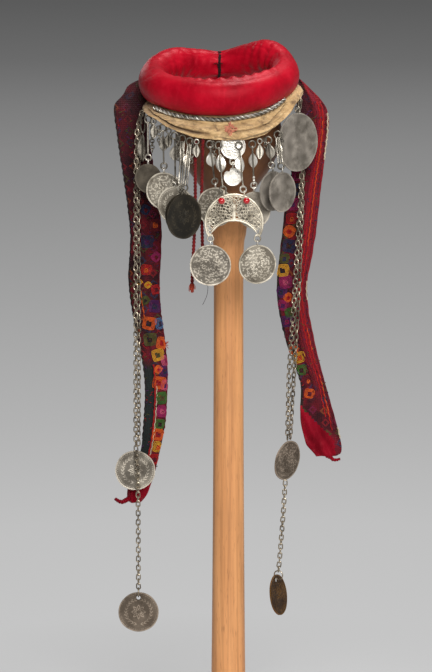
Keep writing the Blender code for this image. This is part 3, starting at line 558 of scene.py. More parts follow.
class Shape:
    """Points and faces gathered from several small shapes into one mesh."""

    def __init__(self):
        self.points = []
        self.faces = []
        self.slots = []
        self.relief = []
        self.count = 0

    def add(self, made, matrix=None, slot=0):
        points, faces = made[0], made[1]
        points = np.asarray(points, float).reshape(-1, 3)
        if matrix is not None:
            whole = np.array(matrix, float)
            points = points @ whole[:3, :3].T + whole[:3, 3]
        self.points.append(points)
        self.faces += [tuple(i + self.count for i in face) for face in faces]
        self.slots += [slot] * len(faces)
        self.relief.append(made[2] if len(made) > 2 else np.full(len(points), 0.6))
        self.count += len(points)

    def make(self, name, materials, body, *nodes):
        mesh = bpy.data.meshes.new(name)
        mesh.from_pydata(np.concatenate(self.points).tolist(), [], self.faces)
        for material in materials:
            mesh.materials.append(material)
        mesh.polygons.foreach_set("material_index", self.slots)
        relief = mesh.attributes.new("relief", "FLOAT", "POINT")
        relief.data.foreach_set("value", np.concatenate(self.relief).astype(np.float32))
        mesh.shade_smooth()
        mesh.set_sharp_from_angle(angle=math.radians(45))
        return dress(link_new(name, mesh), body, *nodes)


def dress(obj, body, *nodes):
    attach(obj, body)
    if nodes:
        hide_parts(*nodes)
    return obj


def grid_faces(rows, columns, wrap_rows=False, wrap_columns=True):
    """Quads over rows of points, each row holding the same number of columns."""
    faces = []
    for i in range(rows if wrap_rows else rows - 1):
        for j in range(columns if wrap_columns else columns - 1):
            a, b = i * columns + j, i * columns + (j + 1) % columns
            c = (i + 1) % rows * columns + (j + 1) % columns
            d = (i + 1) % rows * columns + j
            faces.append((a, d, c, b))
    return faces


def frames_along(path, closed):
    """Normal and side at each point of a path, turned as little as may be."""
    path = np.asarray(path, float)
    if closed:
        tangents = np.roll(path, -1, 0) - np.roll(path, 1, 0)
    else:
        tangents = np.gradient(path, axis=0)
    tangents /= np.maximum(np.linalg.norm(tangents, axis=1), 1e-12)[:, None]
    start = np.array((0, 1.0, 0)) if abs(tangents[0][1]) < 0.9 else np.array((1.0, 0, 0))
    normals = []
    normal = start
    for tangent in tangents:
        normal = normal - tangent * (normal @ tangent)
        normal = normal / np.linalg.norm(normal)
        normals.append(normal)
    normals = np.array(normals)
    return normals, np.cross(tangents, normals)


def sweep(path, radius, sides=8, closed=False):
    """Tube along a path. The radius may differ at each point."""
    path = np.asarray(path, float)
    normals, across = frames_along(path, closed)
    radii = np.broadcast_to(np.asarray(radius, float), (len(path),))
    angles = np.linspace(0, 2 * math.pi, sides, endpoint=False)
    c, s = np.cos(angles), np.sin(angles)
    rings = (
        path[:, None]
        + normals[:, None] * (radii[:, None] * c)[..., None]
        + across[:, None] * (radii[:, None] * s)[..., None]
    )
    return rings.reshape(-1, 3), tube_faces(len(path), sides, closed)


def tube_faces(rows, sides, closed=False):
    """Quads round a tube, and a cap at each end of an open one."""
    faces = grid_faces(rows, sides, wrap_rows=closed)
    if not closed:
        last = (rows - 1) * sides
        faces.append(tuple(range(sides)))
        faces.append(tuple(last + i for i in reversed(range(sides))))
    return faces


def wound(line, turn, size):
    """A line wound round another; its turn and reach may differ at each point."""
    normals, across = frames_along(line, False)
    return line + normals * (np.cos(turn) * size)[:, None] + across * (np.sin(turn) * size)[:, None]


def smooth_path(points, step):
    """Points at even steps on a smooth curve through the given ones."""
    points = [Vector(point) for point in points]
    ends = [points[0] * 2 - points[1], *points, points[-1] * 2 - points[-2]]
    dense = []
    for a, b, c, d in zip(ends, ends[1:], ends[2:], ends[3:]):
        for k in range(24):
            t = k / 24
            cubic = (b * 3 - a - c * 3 + d) * t**3
            square = (a * 2 - b * 5 + c * 4 - d) * t**2
            dense.append(0.5 * (b * 2 + (c - a) * t + square + cubic))
    dense.append(points[-1])
    dense = np.array([tuple(point) for point in dense])
    return resample(dense, step)


def resample(line, step):
    line = np.asarray(line, float)
    lengths = np.concatenate([[0], np.cumsum(np.linalg.norm(np.diff(line, axis=0), axis=1))])
    count = max(2, round(lengths[-1] / step) + 1)
    at = np.linspace(0, lengths[-1], count)
    return np.stack([np.interp(at, lengths, line[:, k]) for k in range(3)], axis=1)


def circle(radius, segments=20, squash=1.0):
    """A ring's centre line, facing the front."""
    angles = np.linspace(0, 2 * math.pi, segments, endpoint=False)
    return np.stack(
        [radius * np.cos(angles), np.zeros(segments), squash * radius * np.sin(angles)], axis=1
    )


def wire_ring(radius, wire, segments=20, squash=1.0):
    return sweep(circle(radius, segments, squash), wire, 8, closed=True)


def ball(radius, segments=10, rows=7):
    polar = np.repeat(math.pi * np.arange(1, rows) / rows, segments)
    turn = np.tile(2 * math.pi * np.arange(segments) / segments, rows - 1)
    reach = np.sin(polar)
    points = radius * np.stack([reach * np.cos(turn), reach * np.sin(turn), np.cos(polar)], axis=1)
    faces = grid_faces(rows - 1, segments)
    top, bottom = len(points), len(points) + 1
    last = (rows - 2) * segments
    for j in range(segments):
        k = (j + 1) % segments
        faces.append((top, j, k))
        faces.append((bottom, last + k, last + j))
    return np.vstack([points, (0, 0, radius), (0, 0, -radius)]), faces


LEAF_WALL = 0.5 * MM
LEAF_RIB = 0.7 * MM
LEAF_CUP = 0.6 * MM


def leaf(width, height, seed):
    """Pressed leaf plate that faces the front, with a raised middle rib."""
    rows, columns = 13, 9
    dents = random.Random(seed)
    skew = dents.uniform(-0.06, 0.06)
    points = []
    for side in (-1, 1):
        for i in range(rows):
            v = i / (rows - 1)
            half = max(width / 2 * math.sin(math.pi * v) ** 0.72, 0.35 * MM)
            half *= 1 - 0.25 * (v - 0.5)
            for j in range(columns):
                u = 2 * j / (columns - 1) - 1
                x = u * half + skew * height * math.sin(math.pi * v)
                rib = LEAF_RIB * max(0, 1 - abs(u) * 4) + 0.25 * MM * math.cos(9 * u)
                y = side * LEAF_WALL / 2 - rib + LEAF_CUP * u * u
                points.append((x, y, (v - 0.5) * height))
    front = grid_faces(rows, columns, wrap_columns=False)
    size = rows * columns
    back = [tuple(size + i for i in reversed(face)) for face in front]
    rim = list(range(columns))
    rim += [i * columns + columns - 1 for i in range(1, rows)]
    rim += [(rows - 1) * columns + i for i in range(columns - 2, -1, -1)]
    rim += [i * columns for i in range(rows - 2, 0, -1)]
    sides = [(a, b, size + b, size + a) for a, b in zip(rim, rim[1:] + rim[:1])]
    return np.array(points), front + back + sides


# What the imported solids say

BODIES = frame["record"]["behaviour"]["bodies"]
ROOT = "headdress"


def vertices_of(obj):
    points = np.empty(len(obj.data.vertices) * 3, np.float32)
    obj.data.vertices.foreach_get("co", points)
    return points.reshape(-1, 3).astype(float)


def node_points(name):
    obj = frame["nodes"][name]
    whole = np.array(obj.matrix_world, float)
    points = vertices_of(obj) @ whole[:3, :3].T + whole[:3, 3]
    return np.unique(np.round(points, 6), axis=0)


def node_body(name):
    return next(body for body, nodes in BODIES.items() if name in nodes)


class Disc:
    """Centre, facing and size of a round plate that hangs upright."""

    def __init__(self, node):
        obj = frame["nodes"][node]
        total = Vector()
        largest = 0
        for face in obj.data.polygons:
            if face.normal.y < 0 and abs(face.normal.z) < 0.01 and face.area > largest:
                largest, total = face.area, face.normal.copy()
        self.normal = total.normalized()
        self.across = Vector((-self.normal.y, self.normal.x, 0))
        points = node_points(node)
        sideways = points @ np.array(self.across)
        self.radius = float(np.ptp(sideways)) / 2
        middle = float(sideways.max() + sideways.min()) / 2
        low = float(points[:, 2].min())
        self.top = float(points[:, 2].max())
        edge = points[np.abs(sideways - middle) > self.radius * 0.98]
        depth = edge @ np.array(self.normal)
        self.wall = float(np.ptp(depth))
        plane = float(depth.max() + depth.min()) / 2
        self.centre = self.across * middle + self.normal * plane
        self.centre.z = low + self.radius

    def matrix(self, centre=None):
        """Frame whose -Y is the face nearer the front, and whose Z is up."""
        turn = Matrix((self.across, -self.normal, up(1))).transposed()
        return Matrix.Translation(centre or self.centre) @ turn.to_4x4()


SECTION_GAP = 6 * MM


def centre_line(node):
    """Middle of each section of an upright tube, from the top down."""
    points = node_points(node)
    points = points[np.argsort(-points[:, 2])]
    breaks = np.nonzero(-np.diff(points[:, 2]) > SECTION_GAP)[0] + 1
    return np.array([group.mean(axis=0) for group in np.split(points, breaks)])


def ends_of(node):
    """The top and bottom of a hanging piece."""
    points = node_points(node)
    high, low = points[:, 2].max(), points[:, 2].min()
    top = points[points[:, 2] > high - 0.4 * MM].mean(axis=0)
    bottom = points[points[:, 2] < low + 0.4 * MM].mean(axis=0)
    return Vector(top), Vector(bottom)


# Relief of the coins


def stroke_distance(x, z, strokes):
    """Distance of each point from the nearest of many short lines."""
    best = np.full(x.shape, 1.0)
    for ax, az, bx, bz in strokes:
        dx, dz = bx - ax, bz - az
        t = np.clip(((x - ax) * dx + (z - az) * dz) / max(dx * dx + dz * dz, 1e-12), 0, 1)
        best = np.minimum(best, np.hypot(x - ax - t * dx, z - az - t * dz))
    return best


def flourishes(radius, rng):
    """Plain curls set close over the field, like worn vine ornament."""
    strokes = []
    pitch = 3.3 * MM
    steps = math.ceil(radius / pitch)
    for row in range(-steps, steps + 1):
        for column in range(-steps, steps + 1):
            x = (column + 0.5 * (row % 2) + rng.uniform(-0.3, 0.3)) * pitch
            z = (row + rng.uniform(-0.3, 0.3)) * pitch * 0.9
            start, turn = rng.uniform(0, 6.3), rng.uniform(1.6, 4.2) * rng.choice((-1, 1))
            size = pitch * rng.uniform(0.30, 0.62)
            if math.hypot(x, z) > radius - size:
                continue
            previous = None
            for k in range(7):
                angle = start + turn * k / 6
                reach = size * (1 - 0.5 * k / 6)
                place = (x + reach * math.cos(angle), z + 0.8 * reach * math.sin(angle))
                if previous:
                    strokes.append((*previous, *place))
                previous = place
    return strokes


def wreath(radius, rng):
    """Two leafy sprays round a rosette with eight petals."""
    strokes = []
    for side in (-1, 1):
        for k in range(11):
            angle = math.radians(-80 + 15 * k)
            x, z = side * radius * 0.78 * math.cos(angle), radius * 0.78 * math.sin(angle)
            for lean in (-0.55, 0.55):
                turn = angle + lean + math.pi / 2
                reach = radius * rng.uniform(0.13, 0.18)
                ex = x + side * reach * math.cos(turn)
                strokes.append((x, z, ex, z + reach * math.sin(turn)))
    for k in range(8):
        angle = k * math.pi / 4
        near, far, wide = radius * 0.12, radius * 0.44, 0.26
        tip = (far * math.cos(angle), far * math.sin(angle))
        foot = (near * math.cos(angle), near * math.sin(angle))
        for turn in (-wide, wide):
            reach = 0.7 * far
            side = (reach * math.cos(angle + turn), reach * math.sin(angle + turn))
            strokes.append((*foot, *side))
            strokes.append((*side, *tip))
    return strokes


def relief_height(x, z, radius, style, rng):
    """How far the face stands up, from 0 in the field to 1 on the rim."""
    distance = np.hypot(x, z)
    angle = np.arctan2(z, x)
    height = np.zeros(x.shape)
    if style != "plain":
        if style == "wreath":
            edge = radius - 2.7 * MM
            beads = np.exp(-(((distance - edge) / (0.55 * MM)) ** 2))
            count = max(24, round(2 * math.pi * edge / (2.3 * MM)))
            height = np.maximum(height, beads * (0.45 + 0.45 * np.cos(count * angle)))
            strokes = wreath(radius - 4.4 * MM, rng)
        else:
            strokes = flourishes(radius - 1.8 * MM, rng)
        lines = np.exp(-((stroke_distance(x, z, strokes) / (0.55 * MM)) ** 2))
        height = np.maximum(height, 0.92 * lines)
    seed = rng.uniform(0, 50)
    wear = np.array(
        [noise.noise((a * 90 + seed, b * 90, seed)) for a, b in zip(x.ravel(), z.ravel())]
    ).reshape(x.shape)
    height *= np.clip(0.78 + 0.7 * wear, 0.15, 1)
    if style == "plain":
        height = 0.42 + 0.3 * wear
    else:
        height = np.maximum(height, 0.22 + 0.2 * wear)
    rim = np.clip((distance - radius + 1.7 * MM) / (0.6 * MM), 0, 1)
    return np.maximum(height, rim * rim * (3 - 2 * rim) * (0.8 + 0.3 * wear))


def coin_shape(radius, wall, style, seed, depth=0.45 * MM, outline=None):
    """Worn coin that faces the front: relief on both faces and a rounded edge."""
    rng = random.Random(seed)
    rings = max(12, round(radius / (0.52 * MM)))
    around = max(48, round(2 * math.pi * radius / (1.0 * MM)))
    angles = np.linspace(0, 2 * math.pi, around, endpoint=False)
    radii = np.linspace(0, 1, rings + 1)[1:] * (radius - 0.12 * MM)
    wobble = 1 + 0.006 * np.sin(3 * angles + seed) + 0.004 * np.sin(7 * angles + 2 * seed)
    if outline:
        wobble = wobble * np.array([outline(angle) for angle in angles])
    x = radii[:, None] * np.cos(angles) * wobble
    z = radii[:, None] * np.sin(angles) * wobble
    points, values = [], []
    for side in (-1, 1):
        mirrored = x if side < 0 else -x
        height = relief_height(mirrored, z, radius, style, rng)
        y = side * (wall / 2 - depth + depth * height)
        points.append(np.stack([x, y, z], axis=-1).reshape(-1, 3))
        values.append(height.ravel())
        points.append([(0, side * (wall / 2 - depth * 0.7), 0)])
        values.append([0.4])
    size = rings * around + 1
    front = [tuple(reversed(face)) for face in grid_faces(rings, around)]
    fan = [(size - 1, (j + 1) % around, j) for j in range(around)]
    faces = [tuple(reversed(face)) for face in front + fan]
    back = [tuple(size + i for i in face) for face in front + fan]
    last = (rings - 1) * around
    edge = []
    for j in range(around):
        k = (j + 1) % around
        edge.append((last + j, size + last + j, size + last + k, last + k))
    return np.concatenate(points), faces + back + edge, np.concatenate(values)


COIN_STYLES = {
    "fringe_coin_a": ("plain", "old_coin"),
    "fringe_coin_b": ("curls", "pale_coin"),
    "fringe_coin_c": ("wreath", "pale_coin"),
    "fringe_coin_d": ("wreath", "dark_silver"),
    "fringe_coin_e": ("plain", "dark_silver"),
    "fringe_coin_f": ("curls", "pale_coin"),
    "fringe_coin_g": ("plain", "coin_silver"),
    "fringe_coin_h": ("plain", "grey_silver"),
    "fringe_coin_i": ("plain", "grey_silver"),
    "drop_coin_left": ("curls", "coin_silver"),
    "drop_coin_right": ("curls", "pale_coin"),
}


def bail_matrix(place):
    """Ring frame turned to face the side."""
    return Matrix.Translation(place) @ Matrix.Rotation(math.pi / 2, 4, "Z")


def make_hung_coins():
    for seed, (node, (style, material)) in enumerate(COIN_STYLES.items()):
        disc = Disc(node)
        shape = Shape()
        shape.add(coin_shape(disc.radius, disc.wall, style, seed), disc.matrix())
        over = disc.centre + up(disc.top - disc.centre.z - BAIL_RADIUS - RING_WIRE)
        shape.add(wire_ring(BAIL_RADIUS, 0.75 * MM), bail_matrix(over), 1)
        foot = disc.centre + up(disc.radius + 0.2 * MM)
        shape.add(ball(1.15 * MM), Matrix.Translation(foot), 1)
        body = node_body(node)
        bail_metal = OLD_SILVER if material == "dark_silver" else SILVER
        shape.make(node + "_relief", [METAL[material], bail_metal], body, node)


# Style, metal, seed, and by how many degrees the relief leans to the right
CHAIN_COINS = {
    "chain_coin_left": ("wreath", "coin_silver", 40, 0),
    "chain_coin_right": ("curls", "brown_silver", 41, 9),
    "end_coin_left": ("wreath", "brown_silver", 60, 0),
    "end_coin_right": ("curls", "brass_brown", 61, -11),
}


def make_chain_coins():
    """The coins where two chains meet, and those at the ends, bored near the top."""
    for node, (style, material, seed, degrees) in CHAIN_COINS.items():
        disc = Disc(node)
        place = Matrix.Translation(disc.centre)
        lean = Matrix.Rotation(math.radians(degrees), 4, "Y")
        shape = Shape()
        made = coin_shape(disc.radius, disc.wall, style, seed)
        shape.add(made, place @ lean @ place.inverted() @ disc.matrix())
        coin = shape.make(node + "_relief", [METAL[material]], node_body(node), node)
        if node.startswith("end"):
            hole = disc.matrix() @ up(END_HOLE_HEIGHT)
            bore(coin, hole, disc.normal, END_HOLE_RADIUS)


def bore(obj, place, direction, radius):
    """Round hole through a plate."""
    bpy.ops.mesh.primitive_cylinder_add(vertices=28, radius=radius, depth=12 * MM)
    cutter = bpy.context.object
    turn = up(1).rotation_difference(direction)
    cutter.matrix_world = Matrix.Translation(place) @ turn.to_matrix().to_4x4()
    modifier = obj.modifiers.new("bore", "BOOLEAN")
    modifier.operation = "DIFFERENCE"
    modifier.solver = "EXACT"
    modifier.object = cutter
    apply_modifiers(obj)
    bpy.data.objects.remove(cutter, do_unlink=True)


# Chains


def chain_link():
    """One long link, its length up and its face to the front."""
    half = (CHAIN_WIDTH - CHAIN_WIRE) / 2
    rise = (CHAIN_LENGTH - CHAIN_WIRE) / 2 - half
    path = []
    for k in range(18):
        c, s = math.cos(2 * math.pi * k / 18), math.sin(2 * math.pi * k / 18)
        path.append((half * c, 0, math.copysign(rise, s) + half * s))
    return sweep(path, CHAIN_WIRE / 2, 7, closed=True)


def add_chain(shape, line, seed, first_turn):
    """Links along a line, every second one turned a quarter."""
    rng = random.Random(seed)
    pitch = CHAIN_LENGTH - 2 * CHAIN_WIRE - 0.15 * MM
    line = resample(line, pitch)
    normals, _ = frames_along(line, False)
    one = chain_link()
    for i, (start, end) in enumerate(zip(line, line[1:])):
        axis = Vector(end - start).normalized()
        front = Vector(normals[i])
        side = axis.cross(front).normalized()
        turn = Matrix((side, -side.cross(axis), axis)).transposed().to_4x4()
        angle = math.radians(first_turn + 90 * (i % 2) + rng.uniform(-12, 12))
        spin = Matrix.Rotation(angle, 4, "Z")
        lean = Matrix.Rotation(math.radians(rng.uniform(-5, 5)), 4, "Y")
        shape.add(one, Matrix.Translation(Vector((start + end) / 2)) @ turn @ spin @ lean)


# The long chains, and the coin at the end of each lower one
CHAINS = ("chain_left_front", "chain_left_back", "chain_right_front", "chain_right_back")
LOWER_CHAINS = {"chain_left_lower": "end_coin_left", "chain_right_lower": "end_coin_right"}


def make_chains():
    for seed, node in enumerate(CHAINS):
        shape = Shape()
        line = centre_line(node)
        if "back" in node:
            line[0] += (line[1] - line[0]) * 0.25
        if node == "chain_left_back":
            line[:, 0] -= BACK_STRAND_SHIFT
        if "right" in node:
            line = np.vstack([line[0] + RIGHT_CHAIN_REACH, line])
        add_chain(shape, line, seed, 62 if "back" in node else 12)
        shape.make(node + "_links", [METAL["chain_silver"]], ROOT, node)
    for seed, (node, coin) in enumerate(LOWER_CHAINS.items()):
        shape = Shape()
        disc = Disc(coin)
        hole = disc.matrix() @ up(END_HOLE_HEIGHT + END_HOLE_RADIUS)
        line = centre_line(node)
        upper = line[line[:, 2] > hole.z + 16 * MM]
        foot = np.array(hole) + np.array((0, 0, 8 * MM))
        add_chain(shape, np.vstack([upper, foot]), 20 + seed, 6)
        turn = Matrix.Rotation(math.atan2(disc.normal.y, disc.normal.x), 4, "Z")
        seat = Matrix.Translation(hole + up(END_RING_SEAT))
        shape.add(wire_ring(END_RING_RADIUS, END_RING_WIRE, 24), seat @ turn)
        shape.make(node + "_links", [METAL["chain_silver"]], ROOT, node)


# Hangers


def rod(top, bottom, radius):
    return sweep(resample([top, bottom], 3 * MM), radius)


HANGER_KINDS = {
    "hanger_a": "rod",
    "hanger_b": "leaf",
    "hanger_c": "leaf",
    "hanger_d": "rods",
    "hanger_e": "rods",
    "hanger_f": "leaf",
    "hanger_g": "balls",
    "hanger_h": "rods",
    "hanger_i": "leaf",
    "crescent_hanger_left": "long",
    "crescent_hanger_right": "long",
}


def make_hangers():
    """Ring, leaf plate with its rod, and ring, all in one hanging line."""
    for seed, (node, kind) in enumerate(HANGER_KINDS.items()):
        rng = random.Random(100 + seed)
        top, bottom = ends_of(node)
        length = (top - bottom).length
        turn = up(1).rotation_difference(top - bottom)
        place = Matrix.Translation(bottom) @ turn.to_matrix().to_4x4()
        place = place @ Matrix.Rotation(math.radians(rng.uniform(-16, 16)), 4, "Z")
        shape = Shape()
        low_ring = CARRIER_RADIUS + RING_WIRE
        high_ring = length - 4.4 * MM
        low, high = (place @ Matrix.Translation((0, 0, height)) for height in (low_ring, high_ring))
        shape.add(wire_ring(CARRIER_RADIUS, HANGER_WIRE), low, seed % 2)
        shape.add(wire_ring(TOP_LINK_RADIUS, HANGER_WIRE, squash=1.08), high, 1)
        rod_low = 2 * low_ring - 1.2 * MM
        rod_high = high_ring - 3.0 * MM
        add_hanger_middle(shape, place, kind, rod_low, rod_high, rng)
        pale = SILVER if abs(top.x) < BRIGHT_WITHIN else METAL["worn_silver"]
        shape.make(node + "_detail", [pale, OLD_SILVER], ROOT, node)


def add_side_links(shape, place, low, high, rng):
    """A strand of small dark links beside a hanger."""
    x = rng.choice((-1, 1)) * rng.uniform(3.2, 4.2) * MM
    for k in range(int((high - low) / SIDE_LINK_PITCH)):
        turn = Matrix.Rotation(math.radians(90 * (k % 2) + rng.uniform(-15, 15)), 4, "Z")
        spot = Matrix.Translation((x, 1.2 * MM, high - k * SIDE_LINK_PITCH))
        shape.add(wire_ring(SIDE_LINK_RADIUS, 0.6 * MM, 12, 1.15), place @ spot @ turn, 1)


def add_hanger_middle(shape, place, kind, low, high, rng):
    middle, span = (low + high) / 2, high - low
    shape.add(rod((0, 0, low), (0, 0, high), 0.80 * MM), place)
    for end in (low, high):
        shape.add(ball(0.95 * MM), place @ Matrix.Translation((0, 0, end)))
    if kind == "rod":
        shape.add(rod((0, -0.6 * MM, low), (0, -0.6 * MM, high), 1.1 * MM), place)
        add_side_links(shape, place, low, high, rng)
        return
    if kind in ("leaf", "rods"):
        add_side_links(shape, place, middle, high + 3 * MM, rng)
    width = {"leaf": 10.8, "rods": 8.6, "balls": 9.8, "long": 11.0}[kind] * MM
    height = min(span * 0.86, (20 if kind == "long" else 17) * MM)
    lift = middle + (span - height) * 0.2
    plate = leaf(width, height, seed=rng.randrange(99))
    turned = Matrix.Rotation(math.radians(rng.uniform(-20, 20)), 4, "Z")
    shape.add(plate, place @ Matrix.Translation((0, 0, lift)) @ turned)
    shape.add(rod((0, -1.1 * MM, low), (0, -1.1 * MM, high), 0.85 * MM), place, 1)
    if kind == "balls":
        for k in range(3):
            shape.add(ball(1.7 * MM), place @ Matrix.Translation((0, -1.2 * MM, low + k * 3.2 * MM)))
    if kind == "rods":
        for x in (-2.6 * MM, 2.4 * MM):
            foot, head = (x, -0.8 * MM, low + 1 * MM), (x * 0.7, -0.8 * MM, high)
            shape.add(rod(foot, head, 0.70 * MM), place)


def make_dangles():
    for seed in range(1, 6):
        node = f"leaf_dangle_{seed}"
        top, bottom = ends_of(node)
        low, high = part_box(node)
        width = max(high[0] - low[0], LEAST_LEAF_WIDTH)
        length = top.z - bottom.z
        height = LONG_LEAF if seed == 1 else length * 0.74
        shape = Shape()
        plate = leaf(width, height, seed=seed)
        middle = Vector(((low[0] + high[0]) / 2, (low[1] + high[1]) / 2, bottom.z + height / 2))
        yaw = Matrix.Rotation(math.radians((seed * 37) % 40 - 20), 4, "Z")
        shape.add(plate, Matrix.Translation(middle) @ yaw)
        ring_z = (bottom.z + height + top.z) / 2
        squash = max(1.0, (top.z - bottom.z - height) / (5.2 * MM))
        place = Matrix.Translation((middle.x, middle.y, ring_z))
        shape.add(wire_ring(2.4 * MM, 0.75 * MM, squash=squash), place)
        material = OLD_SILVER if seed in (1, 3) else METAL["worn_silver"]
        shape.make(node + "_plate", [material], ROOT, node)


# Side disc and centre


def make_side_disc():
    disc = Disc("side_disc")
    shape = Shape()
    shape.add(coin_shape(disc.radius, disc.wall, "plain", 77, 0.3 * MM), disc.matrix())
    over = disc.centre + up(disc.radius + BAIL_RADIUS - 0.4 * MM)
    shape.add(wire_ring(BAIL_RADIUS, 0.8 * MM), disc.matrix(over), 1)
    shape.make("side_disc_face", [METAL["grey_silver"], OLD_SILVER], ROOT, "side_disc")


def plate_outline(angle):
    """Rounded below, notched at the upper left, shouldered at the upper right."""
    notch = math.exp(-(((angle - math.radians(122)) / 0.20) ** 2))
    shoulder = math.exp(-(((angle - math.radians(50)) / 0.28) ** 2))
    return 1 - 0.30 * notch + 0.18 * shoulder


def make_centre():
    disc = Disc("centre_coin")
    low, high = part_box("centre_coin")
    radius = (high[0] - low[0]) / 2
    centre = Vector(((low[0] + high[0]) / 2, (low[1] + high[1]) / 2, high[2] - radius))
    shape = Shape()
    shape.add(coin_shape(radius, disc.wall, "curls", 81), Matrix.Translation(centre))
    under = Vector((centre.x, centre.y, low[2] + CARRIER_RADIUS + RING_WIRE))
    shape.add(wire_ring(CARRIER_RADIUS, 0.85 * MM), Matrix.Translation(under), 1)
    shape.add(ball(1.6 * MM), Matrix.Translation((under.x, under.y, low[2] + 2.6 * MM)), 1)
    shape.make("centre_coin_relief", [SILVER, SILVER], ROOT, "centre_coin")
    low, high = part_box("centre_plate")
    middle = Vector((centre.x, (low[1] + high[1]) / 2, low[2] + PLATE_RADIUS))
    shape = Shape()
    made = coin_shape(PLATE_RADIUS, 1.2 * MM, "plain", 83, 0.5 * MM, plate_outline)
    shape.add(made, Matrix.Translation(middle))
    over = Vector((centre.x, middle.y, high[2] - BAIL_RADIUS - RING_WIRE))
    shape.add(wire_ring(BAIL_RADIUS, 0.7 * MM), bail_matrix(over), 1)
    shape.make("centre_plate_detail", [SILVER, SILVER], ROOT, "centre_plate")


# Crescent


def arc(centre_z, radius, start, end, count):
    angles = np.linspace(math.radians(start), math.radians(end), count)
    return np.stack(
        [radius * np.sin(angles), np.zeros(count), centre_z + radius * np.cos(angles)], axis=1
    )


def band_along(path, half_width, half_wall, taper=0):
    """Flat band with rounded edges along a path in the front plane."""
    path = np.asarray(path, float)
    tangents = np.gradient(path, axis=0)
    tangents /= np.linalg.norm(tangents, axis=1)[:, None]
    outward = np.stack([-tangents[:, 2], np.zeros(len(path)), tangents[:, 0]], axis=1)
    angles = np.linspace(0, 2 * math.pi, 12, endpoint=False)
    c = np.sign(np.cos(angles)) * np.abs(np.cos(angles)) ** 0.6
    s = np.sign(np.sin(angles)) * np.abs(np.sin(angles)) ** 0.6
    fade = np.ones(len(path))
    if taper:
        ends = np.minimum(np.arange(len(path)), np.arange(len(path))[::-1]) / taper
        fade = np.clip(ends, 0.35, 1)
    rings = path[:, None] + outward[:, None] * (half_width * fade[:, None] * c)[..., None]
    rings = rings + np.array((0, 1, 0)) * (half_wall * s)[None, :, None]
    return rings.reshape(-1, 3), tube_faces(len(path), len(angles))


def inside_crescent(x, z, margin):
    outer = math.hypot(x, z) < CRESCENT_RADIUS - margin
    inner = math.hypot(x, z + CRESCENT_INNER_DROP) > CRESCENT_INNER_RADIUS + margin
    return outer and inner and z > -CRESCENT_CUT + margin * 0.5


def scroll(radius, turns):
    """A flat curl of wire."""
    count = 22
    t = np.linspace(0, 1, count)
    angle = turns * 2 * math.pi * t
    reach = radius * (1 - 0.8 * t)
    path = np.stack([reach * np.cos(angle), np.zeros(count), reach * np.sin(angle)], axis=1)
    return sweep(path, FILIGREE_WIRE, 6)


def add_filigree(shape):
    """Small rings, curls and grains that fill the crescent between its rims."""
    rng = random.Random(7)
    pitch = 4.5 * MM
    rim = 2.3 * MM
    for row, radius in enumerate(np.arange(5.6 * MM, CRESCENT_RADIUS, pitch * 0.92)):
        count = round(math.pi * radius / pitch)
        for k in range(-count, count + 1):
            angle = (k + 0.5 * (row % 2)) * pitch / radius
            if abs(angle) > math.radians(118):
                continue
            x, z = radius * math.sin(angle), radius * math.cos(angle)
            if not inside_crescent(x, z, rim + 1.3 * MM) or abs(x) < 2.2 * MM:
                continue
            place = Matrix.Translation((x, -0.55 * MM, z)) @ Matrix.Rotation(-angle, 4, "Y")
            if rng.random() < 0.55:
                shape.add(wire_ring(1.9 * MM, FILIGREE_WIRE, 14), place)
                if rng.random() < 0.25:
                    shape.add(ball(0.6 * MM, 7, 5), place)
            else:
                flip = Matrix.Rotation(rng.uniform(0, 6.28), 4, "Y")
                shape.add(scroll(2.15 * MM, rng.choice((-1.2, 1.2))), place @ flip)


